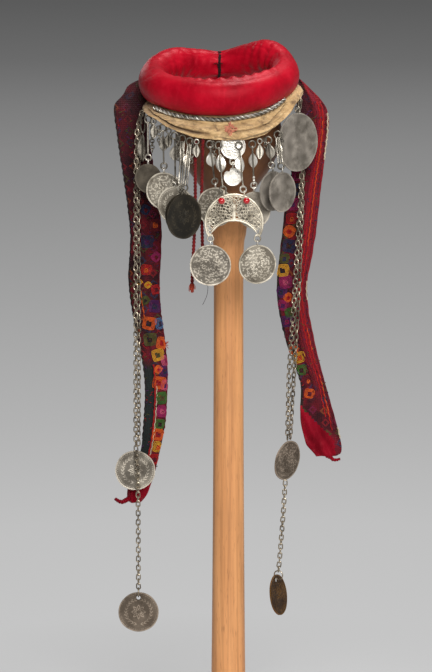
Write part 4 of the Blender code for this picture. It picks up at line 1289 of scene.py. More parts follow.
def make_crescent():
    pin = next(j for j in frame["joints"] if j["name"] == "crescent_swing")["pos_m"]
    centre = Matrix.Translation(Vector(pin) - up(CRESCENT_PIN_HEIGHT))
    shape = Shape()
    outer_end = math.degrees(math.acos(-CRESCENT_CUT / CRESCENT_RADIUS))
    inner_reach = (CRESCENT_INNER_DROP - CRESCENT_CUT) / CRESCENT_INNER_RADIUS
    inner_end = math.degrees(math.acos(inner_reach))
    for inset, wide, thick in ((1.15, 1.15, 1.3), (2.9, 0.42, 0.9)):
        path = arc(0, CRESCENT_RADIUS - inset * MM, -outer_end + 1.5, outer_end - 1.5, 90)
        shape.add(band_along(path, wide * MM, thick * MM), centre)
        reach = CRESCENT_INNER_RADIUS + inset * MM
        path = arc(-CRESCENT_INNER_DROP, reach, 2 - inner_end, inner_end - 2, 64)
        shape.add(band_along(path, wide * MM, thick * MM, 6), centre)
    for side in (-1, 1):
        foot = [(side * 22.6 * MM, 0, -CRESCENT_CUT + 0.9 * MM)]
        foot.append((side * 28.0 * MM, 0, -CRESCENT_CUT + 0.9 * MM))
        shape.add(band_along(resample(foot, 0.8 * MM), 0.9 * MM, 1.1 * MM), centre)
    filigree = Shape()
    add_filigree(filigree)
    shape.add((np.concatenate(filigree.points), filigree.faces), centre)
    stem = resample([(0, 0, 1.8 * MM), (0, 0, 20 * MM)], 1.5 * MM)
    shape.add(band_along(stem, 1.9 * MM, 1.2 * MM), centre)
    boss = centre @ Matrix.Translation((0, -1.0 * MM, 22.5 * MM))
    shape.add(wire_ring(3.0 * MM, 0.65 * MM, 22), boss)
    shape.add(wire_ring(1.3 * MM, 0.5 * MM, 14), boss)
    for side in (-1, 1):
        over = (side * CRESCENT_LOOP_SPREAD, 0, CRESCENT_PIN_HEIGHT - 0.9 * MM)
        shape.add(wire_ring(BAIL_RADIUS, 0.75 * MM), centre @ bail_matrix(over))
        under = (side * HORN_SPREAD, 0, -CRESCENT_CUT - CARRIER_RADIUS + 0.6 * MM)
        shape.add(wire_ring(CARRIER_RADIUS, 0.75 * MM), centre @ Matrix.Translation(under))
        shape.add(ball(1.5 * MM), centre @ Matrix.Translation((side * HORN_SPREAD, 0, -13 * MM)))
        cup = centre @ Matrix.Translation((side * 13.2 * MM, -0.8 * MM, 24 * MM))
        shape.add(wire_ring(3.5 * MM, 0.5 * MM, 20), cup)
    shape.make("crescent_filigree", [METAL["crescent_silver"], OLD_SILVER], "crescent", "crescent")
    for side in ("left", "right"):
        low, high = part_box(f"bead_{side}")
        middle = (Vector(low) + Vector(high)) / 2
        bead = Shape()
        bead.add(ball((high[0] - low[0]) / 2, 20, 14), Matrix.Translation(middle))
        bead.make(f"bead_{side}_glass", [RED_GLASS], "crescent", f"bead_{side}")


# Soft pieces


SOFT_LEVELS = 3


def soft_copy(node, name, material):
    """The solid's own form with its triangles joined and subdivided into cloth."""
    source = frame["nodes"][node]
    bm = bmesh.new()
    bm.from_mesh(source.data)
    bmesh.ops.remove_doubles(bm, verts=bm.verts, dist=0.00002)
    bmesh.ops.join_triangles(
        bm,
        faces=bm.faces,
        angle_face_threshold=math.radians(60),
        angle_shape_threshold=math.radians(70),
    )
    mesh = bpy.data.meshes.new(name)
    bm.to_mesh(mesh)
    bm.free()
    mesh.materials.clear()
    mesh.materials.append(material)
    obj = link_new(name, mesh)
    obj.matrix_world = source.matrix_world
    fine = obj.modifiers.new("fine", "SUBSURF")
    fine.levels = SOFT_LEVELS
    fine.render_levels = SOFT_LEVELS
    apply_modifiers(obj)
    obj.data.shade_smooth()
    return obj


def set_vertices(obj, points):
    obj.data.vertices.foreach_set("co", points.astype(np.float32).ravel())
    obj.data.update()


def set_share(obj, name, values):
    layer = obj.data.attributes.new(name, "FLOAT", "POINT")
    layer.data.foreach_set("value", np.asarray(values, np.float32))


def front_of(tree, x, z):
    """The point on a piece's front at that place, or None."""
    place, _, _, _ = tree.ray_cast(Vector((x, -0.5, z)), Vector((0, 1, 0)))
    return place


def noise_at(points, scale, seed=0.0):
    return np.array([noise.noise((x * scale + seed, y * scale, z * scale)) for x, y, z in points])


def ring_angles(points):
    """Angle round the ring from the front, and the way outward from its middle."""
    dx, dy = points[:, 0] - RING_CENTRE.x, points[:, 1] - RING_CENTRE.y
    angle = np.degrees(np.arctan2(dx, -dy))
    outward = np.stack([dx, dy, np.zeros(len(dx))], axis=1)
    return angle, outward / np.maximum(np.linalg.norm(outward, axis=1), 1e-9)[:, None]


def window(value, centre, width):
    return np.exp(-(((value - centre) / width) ** 2))


def raised(angle):
    """Extra height round the ring: full at the right, highest behind, dipped at the tie."""
    lift = 5.2 * window(angle, 80, 40) + 5.6 * window(angle, 123, 30)
    return MM * (lift - 2.5 * window(np.abs(angle), 180, 13))


def side_rise(angle):
    """How far the band and its braid climb where they pass the ring's right side."""
    return SIDE_RISE * window(angle, 88, 26)


def make_ring():
    """Stuffed satin roll: gathers along its inner edge, long soft creases, lumps."""
    obj = soft_copy("padded_ring", "satin_ring", CRIMSON)
    points = vertices_of(obj)
    normals = np.array([tuple(v.normal) for v in obj.data.vertices])
    angle, outward = ring_angles(points)
    inward = np.clip(-(normals * outward).sum(axis=1) + 0.15, 0, 1)
    upward = np.clip(normals[:, 2], 0, 1)
    gathers = np.sin(np.radians(angle) * 33 + 3.4 * noise_at(points, 50, 3))
    front = window(angle, 4, 34)
    lift = 0.8 * MM * gathers * front * upward * np.clip(inward * 2, 0, 1)
    facing = (normals * outward).sum(axis=1)
    crest = window(facing, -0.30, 0.34) * np.clip(normals[:, 2] * 2, 0, 1)
    lift += 4.8 * MM * crest * window(angle, 17, 60) * (0.88 + 0.12 * gathers)
    sides = np.maximum(window(angle, 120, 40), window(angle, -125, 40))
    sag = np.sin(np.radians(angle) * 30 + 3 * noise_at(points, 45, 9))
    lift += 0.45 * MM * sag * sides * inward
    slow = noise_at(points, 34, 20)
    lift += 1.2 * MM * slow + 2.0 * MM * window(angle, -88, 34) * np.clip(facing, 0, 1)
    ridge = np.abs(noise_at(points * np.array((1, 1, 1.6)), 75, 31))
    lift -= 0.6 * MM * np.exp(-((ridge / 0.09) ** 2)) * (0.25 + 0.75 * sides)
    notch = window(np.abs(angle), 180, 9)
    pleats = np.sin(np.arctan2(normals[:, 2], (normals * outward).sum(axis=1)) * 9)
    lift += 1.0 * MM * pleats * notch
    seam = window(angle, 0.5, 0.9) * np.clip(-normals[:, 1], 0, 1)
    lift -= 0.35 * MM * seam
    points = points + normals * lift[:, None]
    points[:, 2] += raised(angle)
    set_vertices(obj, points)
    dress(obj, ROOT, "padded_ring")


def make_ring_tie():
    """Dark thread wound several times round the notch."""
    points = node_points("ring_tie")
    points[:, 2] += raised(180)
    middle = points.mean(axis=0)
    turns, steps = 6, 24
    path = []
    angles = np.degrees(np.arctan2(points[:, 2] - middle[2], points[:, 1] - middle[1]))
    reach = np.hypot(points[:, 2] - middle[2], points[:, 1] - middle[1])
    for i in range(turns * steps + 1):
        angle = (360 * i / steps) % 360 - 180
        near = np.abs((angles - angle + 180) % 360 - 180)
        weight = np.exp(-((near / 16) ** 2))
        radius = (reach * weight).sum() / weight.sum() - 0.15 * MM
        share = i / (turns * steps)
        x = middle[0] + (share - 0.5) * 2.6 * MM + 0.4 * MM * math.sin(i)
        c, s = math.cos(math.radians(angle)), math.sin(math.radians(angle))
        path.append((x, middle[1] + radius * c, middle[2] + radius * s))
    shape = Shape()
    shape.add(sweep(path, 0.50 * MM, 6))
    for side in (-1, 1):
        tail = [path[0], Vector(path[0]) + Vector((side * 2 * MM, -2 * MM, 4 * MM))]
        tail.append(tail[-1] + Vector((side * 3 * MM, -1 * MM, -1 * MM)))
        shape.add(sweep(smooth_path(tail, 1 * MM), 0.4 * MM, 5))
    shape.make("ring_thread", [DARK_THREAD], ROOT, "ring_tie")


def make_braid():
    """Silver thread plaited along the seam."""
    points = node_points("silver_braid")
    angle, _ = ring_angles(points)
    order = points[np.argsort(angle)]
    line = np.array([group.mean(axis=0) for group in np.array_split(order, 25)])
    turns = ring_angles(line)[0]
    line[:, 2] += 0.8 * raised(turns) + 0.8 * side_rise(turns)
    line = smooth_path(line, 0.8 * MM)
    along = np.arange(len(line)) * 0.8 * MM
    shape = Shape()
    for k in range(4):
        turn = 2 * math.pi * (along / (11 * MM) + k / 4)
        size = 1.5 * MM + 0.25 * MM * np.sin(along * 700 + k)
        shape.add(sweep(wound(line, turn, size), (0.95 if k % 2 else 0.7) * MM, 7), slot=k % 2)
    shape.make("plaited_braid", [METAL["silver_thread"], OLD_SILVER], ROOT, "silver_braid")


FOLDS = [
    # angle it runs over, height at its two ends from the lip, width and rise
    (-80, -2, 0.62, 0.34, 0.12, 4.4),
    (-82, -16, 0.26, 0.08, 0.10, 3.0),
    (-40, 40, 0.80, 0.72, 0.07, 1.4),
    (-2, 72, 0.40, 0.66, 0.08, 2.4),
    (16, 88, 0.14, 0.34, 0.09, 2.2),
    (-8, 30, 0.18, 0.10, 0.06, 1.3),
    (30, 64, 0.50, 0.36, 0.05, 1.4),
]


def height_share(angle, z):
    """Share of the way up the band at each point, from 0 at its lip to 1 at its top."""
    bins = np.clip(((angle + 180) / 4).astype(int), 0, 89)
    low, high = np.full(90, 9.0), np.full(90, -9.0)
    np.minimum.at(low, bins, z)
    np.maximum.at(high, bins, z)
    middles = np.arange(90) * 4 - 178
    base = np.interp(angle, middles, low)
    span = np.interp(angle, middles, high) - base
    return (z - base) / np.maximum(span, 1e-6)


def make_band():
    """Creased cloth band: long folds, crumples and a rolled lower edge, with painted shade in the hollows under
    the folds.
    """
    obj = soft_copy("forehead_band", "cream_band", LINEN)
    points = vertices_of(obj)
    angle, outward = ring_angles(points)
    part = height_share(angle, points[:, 2])
    lift = np.zeros(len(points))
    painted_fold_shade = np.zeros(len(points))
    for start, end, low_part, high_part, wide, rise in FOLDS:
        share = np.clip((angle - start) / (end - start), 0, 1)
        line = low_part + (high_part - low_part) * share
        line = line + 0.04 * np.sin(share * 9)
        fade = np.clip(np.minimum(share, 1 - share) * 5, 0, 1)
        lift += rise * MM * fade * np.exp(-(((part - line) / wide) ** 2))
        hollow = fade * np.exp(-(((part - line + 1.5 * wide) / (0.5 * wide)) ** 2))
        lift -= 0.9 * rise * MM * hollow
        # Painted shade: the hollow under each fold is marked to be coloured dark
        painted_fold_shade = np.maximum(painted_fold_shade, hollow * min(rise / 3.5, 1))
    stretched = points * np.array((0.55, 0.55, 1.5))
    lift += 1.5 * MM * noise_at(stretched, 110, 5)
    lift += 0.75 * MM * noise_at(points, 230, 8)
    hidden = np.clip((part - 0.8) * 5, 0, 1)
    lift *= 1 - hidden
    points = points + outward * lift[:, None]
    droop = 0.6 * MM * noise_at(points, 120, 12) * np.clip(1 - part * 3, 0, 1)
    points[:, 2] += droop + raised(angle) * (angle > 0) * (0.35 + 0.6 * part)
    points[:, 2] += side_rise(angle) * (0.75 + 0.25 * part) + BAND_TUCK * hidden
    points += outward * (SIDE_SPREAD * side_rise(angle))[:, None]
    set_vertices(obj, points)
    set_share(obj, "painted_fold_shade", painted_fold_shade)
    dress(obj, ROOT, "forehead_band")


def make_band_motif():
    """Small worn flower worked in pinkish thread at the middle of the band."""
    band = bpy.data.objects["cream_band"]
    tree = BVHTree.FromObject(band, bpy.context.evaluated_depsgraph_get())
    rng = random.Random(3)
    shape = Shape()
    for _ in range(FLOWER_STITCHES):
        angle = rng.uniform(0, 2 * math.pi)
        reach = FLOWER_REACH * math.sqrt(rng.random()) * (0.75 + 0.25 * math.cos(4 * angle))
        found = front_of(tree, FLOWER_X + reach * math.cos(angle), FLOWER_Z + reach * math.sin(angle))
        if not found:
            continue
        half = Vector((math.cos(angle), 0, math.sin(angle))) * rng.uniform(0.8, 1.7) * MM
        line = [found - half, found + Vector((0, -0.6 * MM, 0)), found + half]
        shape.add(sweep(line, 0.45 * MM, 5), slot=int(rng.random() < 0.10))
    sewn = shape.make("band_flower", [PINK_THREAD, RED_THREAD], ROOT)


THREAD_TONES = {
    "scarlet": ((0.40, 0.010, 0.010), (0.19, 0.004, 0.005)),
    "orange": ((0.60, 0.10, 0.012), (0.34, 0.045, 0.006)),
    "yellow": ((0.56, 0.28, 0.016), (0.30, 0.13, 0.010)),
    "magenta": ((0.30, 0.014, 0.09), (0.14, 0.006, 0.04)),
    "pink": ((0.46, 0.07, 0.14), (0.26, 0.03, 0.07)),
    "purple": ((0.085, 0.014, 0.095), (0.035, 0.006, 0.045)),
    "blue": ((0.06, 0.14, 0.28), (0.025, 0.06, 0.13)),
    "navy": ((0.018, 0.026, 0.07), (0.008, 0.010, 0.03)),
    "green": ((0.05, 0.13, 0.020), (0.02, 0.06, 0.010)),
    "olive": ((0.085, 0.080, 0.018), (0.035, 0.035, 0.008)),
    "jade": ((0.04, 0.26, 0.17), (0.02, 0.14, 0.09)),
    "maroon": ((0.13, 0.006, 0.014), (0.055, 0.003, 0.006)),
    "cream": ((0.55, 0.46, 0.33), (0.34, 0.27, 0.18)),
    "dark": ((0.022, 0.012, 0.012), (0.008, 0.005, 0.005)),
}
THREAD_NAMES = list(THREAD_TONES)
THREADS = [thread(f"{name}_thread", *tones) for name, tones in THREAD_TONES.items()]
DULL = [THREAD_NAMES.index(name) for name in ("maroon", "scarlet", "dark", "olive", "purple", "navy")]
STITCHES = 340
PATCH_EDGE = 0.5
FOLD_SHARE = {"left": 0.44, "right": 0.52}


def binding(share, radius, name, low, high):
    index = THREAD_NAMES.index(name)
    return {"share": share, "radius": radius, "thread": index, "low": low, "high": high}


BINDINGS = {
    "left": [
        binding(0.035, 0.8, "dark", 0.30, 0.72),
        binding(0.46, 0.8, "scarlet", 0.30, 0.43),
        binding(0.53, 0.5, "cream", 0.30, 0.41),
        binding(0.40, 0.7, "orange", 0.478, 0.512),
        binding(0.965, 0.6, "maroon", 0.30, 0.72),
    ],
    "right": [
        binding(0.05, 0.6, "dark", 0.39, 0.70),
        binding(0.50, 0.7, "maroon", 0.40, 0.70),
        binding(0.60, 0.6, "maroon", 0.40, 0.72),
        binding(0.70, 0.6, "scarlet", 0.37, 0.72),
        binding(0.80, 0.7, "scarlet", 0.355, 0.72),
        binding(0.81, 0.6, "orange", 0.37, 0.42),
        binding(0.81, 0.6, "orange", 0.445, 0.47),
        binding(0.79, 0.6, "orange", 0.56, 0.70),
        binding(0.89, 0.6, "maroon", 0.345, 0.72),
        binding(0.965, 0.7, "cream", 0.345, 0.43),
        binding(0.965, 0.6, "cream", 0.50, 0.535),
        binding(0.965, 0.8, "cream", 0.655, 0.72),
    ],
}

# Worked patches, from the top down: height, share across, radius in mm, form (1 a lozenge,
# 2 round, 7 a rounded square), thread of the outer turns and of the inner ones
MOTIFS = {
    "left": [
        (0.640, 0.60, 6.0, 1.2, "maroon", "scarlet"),
        (0.618, 0.80, 6.0, 7.0, "olive", "navy"),
        (0.600, 0.55, 6.0, 1.2, "navy", "maroon"),
        (0.583, 0.82, 6.5, 7.0, "maroon", "orange"),
        (0.565, 0.55, 6.5, 7.0, "navy", "purple"),
        (0.548, 0.84, 6.0, 1.2, "magenta", "maroon"),
        (0.534, 0.55, 5.5, 7.0, "scarlet", "orange"),
        (0.520, 0.34, 3.6, 1.6, "yellow", "dark"),
        (0.517, 0.62, 3.6, 1.6, "yellow", "orange"),
        (0.512, 0.88, 5.0, 7.0, "scarlet", "maroon"),
        (0.500, 0.50, 5.0, 1.4, "olive", "dark"),
        (0.493, 0.80, 6.5, 7.0, "purple", "navy"),
        (0.474, 0.52, 6.8, 7.0, "orange", "dark"),
        (0.474, 0.92, 6.0, 7.0, "blue", "navy"),
        (0.456, 0.45, 6.6, 7.0, "olive", "dark"),
        (0.452, 0.88, 6.4, 7.0, "orange", "scarlet"),
        (0.439, 0.66, 6.2, 7.0, "yellow", "olive"),
        (0.433, 0.96, 5.5, 7.0, "pink", "magenta"),
        (0.423, 0.62, 4.6, 1.4, "orange", "scarlet"),
        (0.421, 0.88, 6.0, 7.0, "purple", "navy"),
        (0.408, 0.62, 6.6, 7.0, "orange", "scarlet"),
        (0.405, 0.94, 5.6, 7.0, "pink", "purple"),
        (0.391, 0.78, 6.4, 7.0, "green", "olive"),
        (0.376, 0.82, 6.2, 7.0, "magenta", "pink"),
        (0.362, 0.74, 5.0, 7.0, "green", "dark"),
        (0.350, 0.74, 6.4, 7.0, "orange", "scarlet"),
        (0.336, 0.82, 5.8, 7.0, "yellow", "orange"),
        (0.322, 0.76, 5.6, 7.0, "scarlet", "maroon"),
        (0.308, 0.72, 5.6, 7.0, "maroon", "scarlet"),
    ],
    "right": [
        (0.655, 0.22, 6.0, 1.3, "maroon", "dark"),
        (0.638, 0.25, 6.0, 7.0, "magenta", "maroon"),
        (0.622, 0.28, 6.2, 7.0, "navy", "dark"),
        (0.606, 0.22, 6.5, 7.0, "magenta", "purple"),
        (0.590, 0.24, 5.6, 7.0, "scarlet", "orange"),
        (0.576, 0.22, 6.8, 1.6, "orange", "scarlet"),
        (0.560, 0.26, 6.8, 7.0, "navy", "dark"),
        (0.546, 0.16, 5.0, 7.0, "olive", "navy"),
        (0.533, 0.16, 6.4, 7.0, "yellow", "dark"),
        (0.520, 0.28, 6.6, 7.0, "magenta", "pink"),
        (0.509, 0.12, 6.0, 7.0, "purple", "navy"),
        (0.503, 0.36, 5.4, 1.4, "orange", "scarlet"),
        (0.494, 0.16, 5.4, 7.0, "magenta", "purple"),
        (0.486, 0.36, 5.0, 7.0, "green", "olive"),
        (0.476, 0.20, 6.0, 7.0, "purple", "magenta"),
        (0.460, 0.24, 6.0, 7.0, "maroon", "navy"),
        (0.444, 0.22, 5.6, 1.4, "orange", "dark"),
        (0.436, 0.34, 5.8, 7.0, "yellow", "orange"),
        (0.422, 0.22, 5.6, 7.0, "green", "dark"),
        (0.410, 0.34, 5.4, 1.4, "maroon", "orange"),
        (0.396, 0.30, 5.0, 7.0, "orange", "maroon"),
    ],
}

# Where thread ends stick out: height, share across, thread
LOOSE_ENDS = {
    "left": [(0.66, 0.03, "maroon"), (0.45, 0.97, "scarlet")],
    "right": [
        (0.620, 0.985, "dark"),
        (0.560, 0.985, "dark"),
        (0.500, 0.985, "cream"),
        (0.447, 0.985, "jade"),
        (0.441, 0.985, "jade"),
        (0.434, 0.985, "jade"),
        (0.427, 0.985, "jade"),
        (0.405, 0.985, "cream"),
        (0.380, 0.985, "scarlet"),
    ],
}


LEVEL_STEP = 8 * MM


class Strip:
    """Edges of a hanging strip of cloth, level by level."""

    def __init__(self, points):
        levels, low, high = [], [], []
        heights = points[:, 2]
        for level in np.arange(heights.min(), heights.max() + LEVEL_STEP, LEVEL_STEP):
            near = points[np.abs(heights - level) < LEVEL_STEP, 0]
            if len(near) > 3:
                levels.append(level)
                low.append(near.min())
                high.append(near.max())
        self.levels, self.low, self.high = np.array(levels), np.array(low), np.array(high)
        self.top = levels[-1]

    def edges(self, z):
        return np.interp(z, self.levels, self.low), np.interp(z, self.levels, self.high)

    def share(self, points):
        """Share of the way from the left edge to the right."""
        low, high = self.edges(points[:, 2])
        return (points[:, 0] - low) / np.maximum(high - low, 1e-6)

    def place(self, share, z):
        low, high = self.edges(z)
        return low + (high - low) * share

    def lay_out(self, obj, points):
        """UVs in metres: across from the left edge, and down the length."""
        middle = (self.low + self.high) / 2
        steps = np.hypot(np.diff(self.levels), np.diff(middle))
        down = np.concatenate([[0], np.cumsum(steps)])
        v = np.interp(points[:, 2], self.levels, down)
        layer = obj.data.uv_layers.new(name="UVMap")
        loops = np.empty(len(obj.data.loops), np.int32)
        obj.data.loops.foreach_get("vertex_index", loops)
        uv = np.stack([points[loops, 0] - self.edges(points[:, 2])[0][loops], v[loops]], axis=1)
        layer.data.foreach_set("uv", uv.astype(np.float32).ravel())


def step_up(value, start, end):
    """0 before start, 1 after end, and smooth between."""
    share = np.clip((value - start) / (end - start), 0, 1)
    return share * share * (3 - 2 * share)


STREAMER_TOP = 0.700
TOP_SQUASH = {"left": 0.26, "right": 0.22}


def satin_level(side, share):
    """Height below which the plain satin end shows."""
    if side == "left":
        return 0.293 + 0.004 * np.sin(9 * share)
    return 0.384 - 0.050 * share - 0.2 * step_up(share, 0.80, 0.86)


def tuck(side, points, share):
    """Brings the strip's edges to where the folded cloth has them."""
    z = points[:, 2]
    if side == "left":
        outward = 4.0 * window(z, 0.530, 0.035) + 8.0 * window(z, 0.733, 0.026)
        outward += 9.0 * window(z, 0.753, 0.014)
        points[:, 0] -= MM * outward * (1 - share)
        inward = 2.5 * window(z, 0.560, 0.05) + 6.0 * window(z, 0.66, 0.05) + 6.0 * window(z, 0.73, 0.03)
        points[:, 0] += MM * inward * share
    else:
        inward = 3.0 * step_up(z, 0.40, 0.45) + 6.0 * window(z, 0.605, 0.06) + 4.5 * window(z, 0.37, 0.03)
        points[:, 0] -= MM * inward * (1 - share)
        points[:, 0] += 4.6 * MM * share * window(z, 0.715, 0.030)
    points[:, 2] -= np.clip(z - STREAMER_TOP, 0, None) * TOP_SQUASH[side]
    return points


def make_streamer(side):
    node = f"streamer_{side}"
    obj = soft_copy(node, f"embroidered_{node}", EMBROIDERY[side])
    points = vertices_of(obj)
    points = tuck(side, points, Strip(points).share(points))
    strip = Strip(points)
    share = strip.share(points)
    strip.lay_out(obj, points)
    z = points[:, 2]
    if side == "left":
        # Share of the lining, coloured near-black as painted shade
        set_share(obj, "lining_in_painted_shade", (1 - step_up(z, 0.420, 0.436)) * (1 - step_up(share, 0.40, 0.46)))
        set_share(obj, "border", 0.0 * z)
        # Painted shade on the upper part, under the ring
        set_share(obj, "shade", 0.9 * step_up(z, 0.57, 0.66) * (0.45 + 0.55 * share))
    else:
        # Share of the lining, coloured near-black as painted shade
        set_share(obj, "lining_in_painted_shade", (1 - step_up(share, 0.06, 0.14)) * (1 - step_up(z, 0.50, 0.56)))
        set_share(obj, "border", step_up(share, 0.50, 0.58) * step_up(z, 0.395, 0.43))
        # Painted shade on the upper part, under the ring
        set_share(obj, "shade", 0.8 * step_up(z, 0.62, 0.70) * (1 - step_up(share, 0.4, 0.6)))
    stretched = points * np.array((1.0, 1.0, 0.25))
    push = 1.3 * MM * noise_at(stretched, 75, 2) + 0.5 * MM * noise_at(points, 160, 4)
    end = step_up(satin_level(side, share) - z, 0, 0.012)
    push += 1.4 * MM * end * np.sin(share * 17 + z * 160)
    fold = FOLD_SHARE[side]
    push -= 2.2 * MM * window(share, fold + 0.05, 0.07) * (1 - end)
    push += 1.6 * MM * window(share, fold - 0.08, 0.06) * (1 - end)
    points[:, 1] += push
    points[:, 0] += 0.7 * MM * noise_at(points * np.array((0, 0, 1.0)), 90, 6)
    set_vertices(obj, points)
    obj.data.materials.append(END_SATIN)
    middles = np.array([tuple(face.center) for face in obj.data.polygons])
    plain = middles[:, 2] < satin_level(side, strip.share(middles))
    obj.data.polygons.foreach_set("material_index", plain.astype(np.int32))
    dress(obj, ROOT, node)
    tree = BVHTree.FromObject(obj, bpy.context.evaluated_depsgraph_get())
    make_bindings(side, strip, tree)
    make_motifs(side, strip, tree)
    make_stitches(side, strip, tree)


def make_bindings(side, strip, tree):
    """Cords stitched along the streamer's length."""
    shape = Shape()
    for row in BINDINGS[side]:
        line = []
        for level in np.arange(row["low"], row["high"], 3 * MM):
            found = front_of(tree, strip.place(row["share"], level), level)
            if found:
                line.append(tuple(found + Vector((0, -0.3 * MM, 0))))
        if len(line) > 3:
            wobble = smooth_path(line, 1.5 * MM)
            wobble[:, 0] += 0.35 * MM * np.sin(np.arange(len(wobble)) * 1.3)
            shape.add(sweep(wobble, row["radius"] * MM, 6), slot=row["thread"])
    bound = shape.make(f"streamer_{side}_binding", THREADS, ROOT)


def motif_lines(tree, x, z, radius, form, tilt):
    """Thread laid round and round from the edge to the middle, on the cloth's front."""
    turns, steps = max(2, round(radius / (1.45 * MM))), 24
    count = turns * steps
    line = []
    for k in range(count + 1):
        angle = 2 * math.pi * k / steps
        c, s = math.cos(angle), math.sin(angle)
        reach = radius * (1 - 0.93 * k / count) * (abs(c) ** form + abs(s) ** form) ** (-1 / form)
        along, rise = reach * c, reach * s
        found = front_of(
            tree,
            x + along * math.cos(tilt) - rise * math.sin(tilt),
            z + along * math.sin(tilt) + rise * math.cos(tilt),
        )
        line.append(found and tuple(found + Vector((0, -0.35 * MM, 0))))
    inner = round(count * 0.66)
    for part, which in ((line[: inner + 1], "outer"), (line[inner:], "inner")):
        part = [point for point in part if point]
        if len(part) > 3:
            yield part, which


def make_motifs(side, strip, tree):
    rng = random.Random(11)
    shape = Shape()
    for z, share, radius, form, outer, inner in MOTIFS[side]:
        tilt = math.radians(rng.uniform(-14, 14))
        x = strip.place(share, z)
        for line, which in motif_lines(tree, x, z, (radius + PATCH_EDGE) * MM, form, tilt):
            slot = THREAD_NAMES.index(outer if which == "outer" else inner)
            shape.add(sweep(line, 0.60 * MM, 5), slot=slot)
    sewn = shape.make(f"streamer_{side}_motifs", THREADS, ROOT)


def make_stitches(side, strip, tree):
    """Short crossed stitches over the ground, and loose ends on the outer edge."""
    rng = random.Random(5 if side == "left" else 6)
    shape = Shape()
    for _ in range(STITCHES):
        level = rng.uniform(0.31 if side == "left" else 0.39, strip.top - 0.03)
        found = front_of(tree, strip.place(rng.uniform(0.06, 0.94), level), level)
        if not found:
            continue
        turn = rng.choice((0.6, -0.6)) + rng.uniform(-0.3, 0.3)
        reach = Vector((math.cos(turn), 0, math.sin(turn))) * rng.uniform(0.9, 2.0) * MM
        line = [found - reach, found + Vector((0, -0.5 * MM, 0)), found + reach]
        shape.add(sweep(line, 0.36 * MM, 4), slot=rng.choice(DULL))
    for level, share, name in LOOSE_ENDS[side]:
        for _ in range(7):
            found = front_of(tree, strip.place(share, level), level)
            if not found:
                continue
            out = Vector((rng.uniform(0.5, 4.5), rng.uniform(-2, 1), rng.uniform(-4, 4))) * MM
            line = [found, found + out * 0.6 + Vector((0, -1 * MM, 0)), found + out]
            shape.add(sweep(smooth_path(line, 1 * MM), 0.3 * MM, 4), slot=THREAD_NAMES.index(name))
    sewn = shape.make(f"streamer_{side}_stitches", THREADS, ROOT)


TIE_TAPER = {"left": (0.95, 1.60), "right": (1.35, 0.75)}


def make_ties():
    """The twisted red ends of the streamers."""
    for side in ("left", "right"):
        node = f"streamer_{side}_tie"
        points = node_points(node)
        order = points[np.argsort(points[:, 0])]
        line = np.array([group.mean(axis=0) for group in np.array_split(order, 4)])
        inner = np.array((5 * MM, 0.5 * MM, 2.5 * MM))
        if side == "left":
            line = np.vstack([line, line[-1] + inner])
        else:
            line = np.vstack([line[0] + inner * (-1, 1, 1), line])
        line = smooth_path(line, 0.7 * MM)
        turn = np.arange(len(line)) * 0.7 * MM / (5 * MM) * 2 * math.pi
        taper = np.linspace(*TIE_TAPER[side], len(line))
        shape = Shape()
        for k in range(2):
            strand = wound(line, turn + k * math.pi, taper * MM)
            shape.add(sweep(strand, 1.1 * taper * MM, 8))
        shape.make(f"{node}_twist", [END_SATIN], ROOT, node)


# Red cord


def make_cords():
    """Two twisted strands; the longer one ends in a frayed tuft."""
    for node, route in (("red_cord_long", LONG_CORD), ("red_cord_short", SHORT_CORD)):
        line = smooth_path(route, 0.8 * MM)
        turn = np.arange(len(line)) * 0.8 * MM / (7.5 * MM) * 2 * math.pi
        shape = Shape()
        for k in range(2):
            shape.add(sweep(wound(line, turn + k * math.pi, 0.98 * MM), 1.05 * MM, 8))
        cord = shape.make(f"{node}_strands", [RED_THREAD], ROOT, node)
        tuft = make_tuft(f"{node}_strands_tuft", Vector(line[-1]), 9 if "long" in node else 4)


GREY_TAIL = [(0, 0, 0), (2, 1, -12), (5.5, 1, -26), (5, 0, -36), (2.5, 0, -43), (0, 0, -48)]


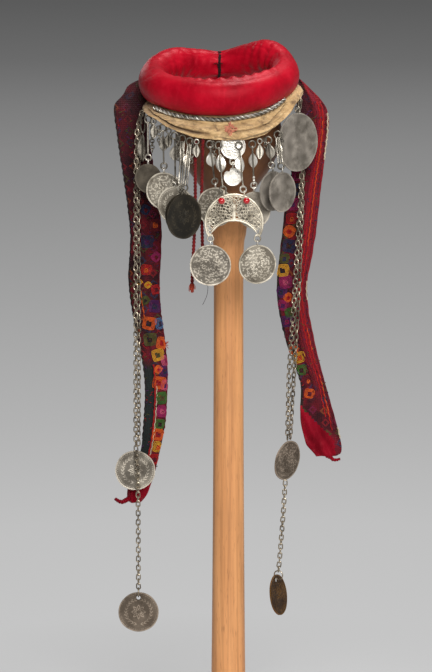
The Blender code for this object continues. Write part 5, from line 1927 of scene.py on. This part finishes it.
def make_tuft(name, top, reach):
    """Frayed end; the shorter strand also trails one thin grey thread."""
    rng = random.Random(reach)
    shape = Shape()
    for _ in range(60):
        angle = rng.uniform(0, 2 * math.pi)
        side = Vector((math.cos(angle), math.sin(angle), 0)) * rng.uniform(0.6, 3.6) * MM
        drop = up(-rng.uniform(0.5, 1.0) * reach * MM)
        start = top + side * 0.3 + up(2.0 * MM)
        line = [start, top + side * 0.9 + drop * 0.3, top + side + drop]
        shape.add(sweep(smooth_path(line, 1.2 * MM), 0.26 * MM, 4))
    if reach < 6:
        tail = [top + Vector(offset) * MM for offset in GREY_TAIL]
        shape.add(sweep(smooth_path(tail, 2 * MM), 0.24 * MM, 5), slot=1)
    made = shape.make(name, [TUFT_THREAD, DARK_THREAD], ROOT)
    return made


# Stand


def make_stand():
    """The turned stand, finer than its solid."""
    points = node_points("stand")
    radii = np.hypot(points[:, 0], points[:, 1])
    outline = []
    for level in np.unique(np.round(points[:, 2], 4))[::-1]:
        near = np.abs(points[:, 2] - level) < 0.3 * MM
        outline.append((float(radii[near].max()), 0, float(level)))
    post = [p for p in outline if p[2] >= FOOT_TOP]
    rows = [(0, 0, post[0][2]), *[tuple(p) for p in smooth_path(post, 6 * MM)]]
    rows += [p for p in outline if p[2] < FOOT_TOP - 0.1 * MM]
    rows.append((0, 0, 0))
    mesh = bpy.data.meshes.new("turned_stand")
    mesh.from_pydata(rows, [(i, i + 1) for i in range(len(rows) - 1)], [])
    obj = link_new("turned_stand", mesh)
    screw = obj.modifiers.new("turning", "SCREW")
    screw.steps = STAND_SIDES
    screw.render_steps = STAND_SIDES
    screw.use_merge_vertices = True
    screw.merge_threshold = 0.01 * MM
    apply_modifiers(obj)
    obj.data.materials.append(WOOD)
    obj.data.shade_smooth()
    obj.data.set_sharp_from_angle(angle=math.radians(38))
    dress(obj, ROOT, "stand")


make_camera()
make_lights()
make_floor()
make_cords()
make_stand()
make_ring()
make_ring_tie()
make_braid()
make_band()
make_band_motif()
for streamer_side in ("left", "right"):
    make_streamer(streamer_side)
make_ties()
make_chains()
make_chain_coins()
make_hangers()
make_hung_coins()
make_dangles()
make_side_disc()
make_centre()
make_crescent()

boxes = {"cad": CAD_BOX, "visual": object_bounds()}
{name: [list(corner) for corner in box] for name, box in boxes.items()}
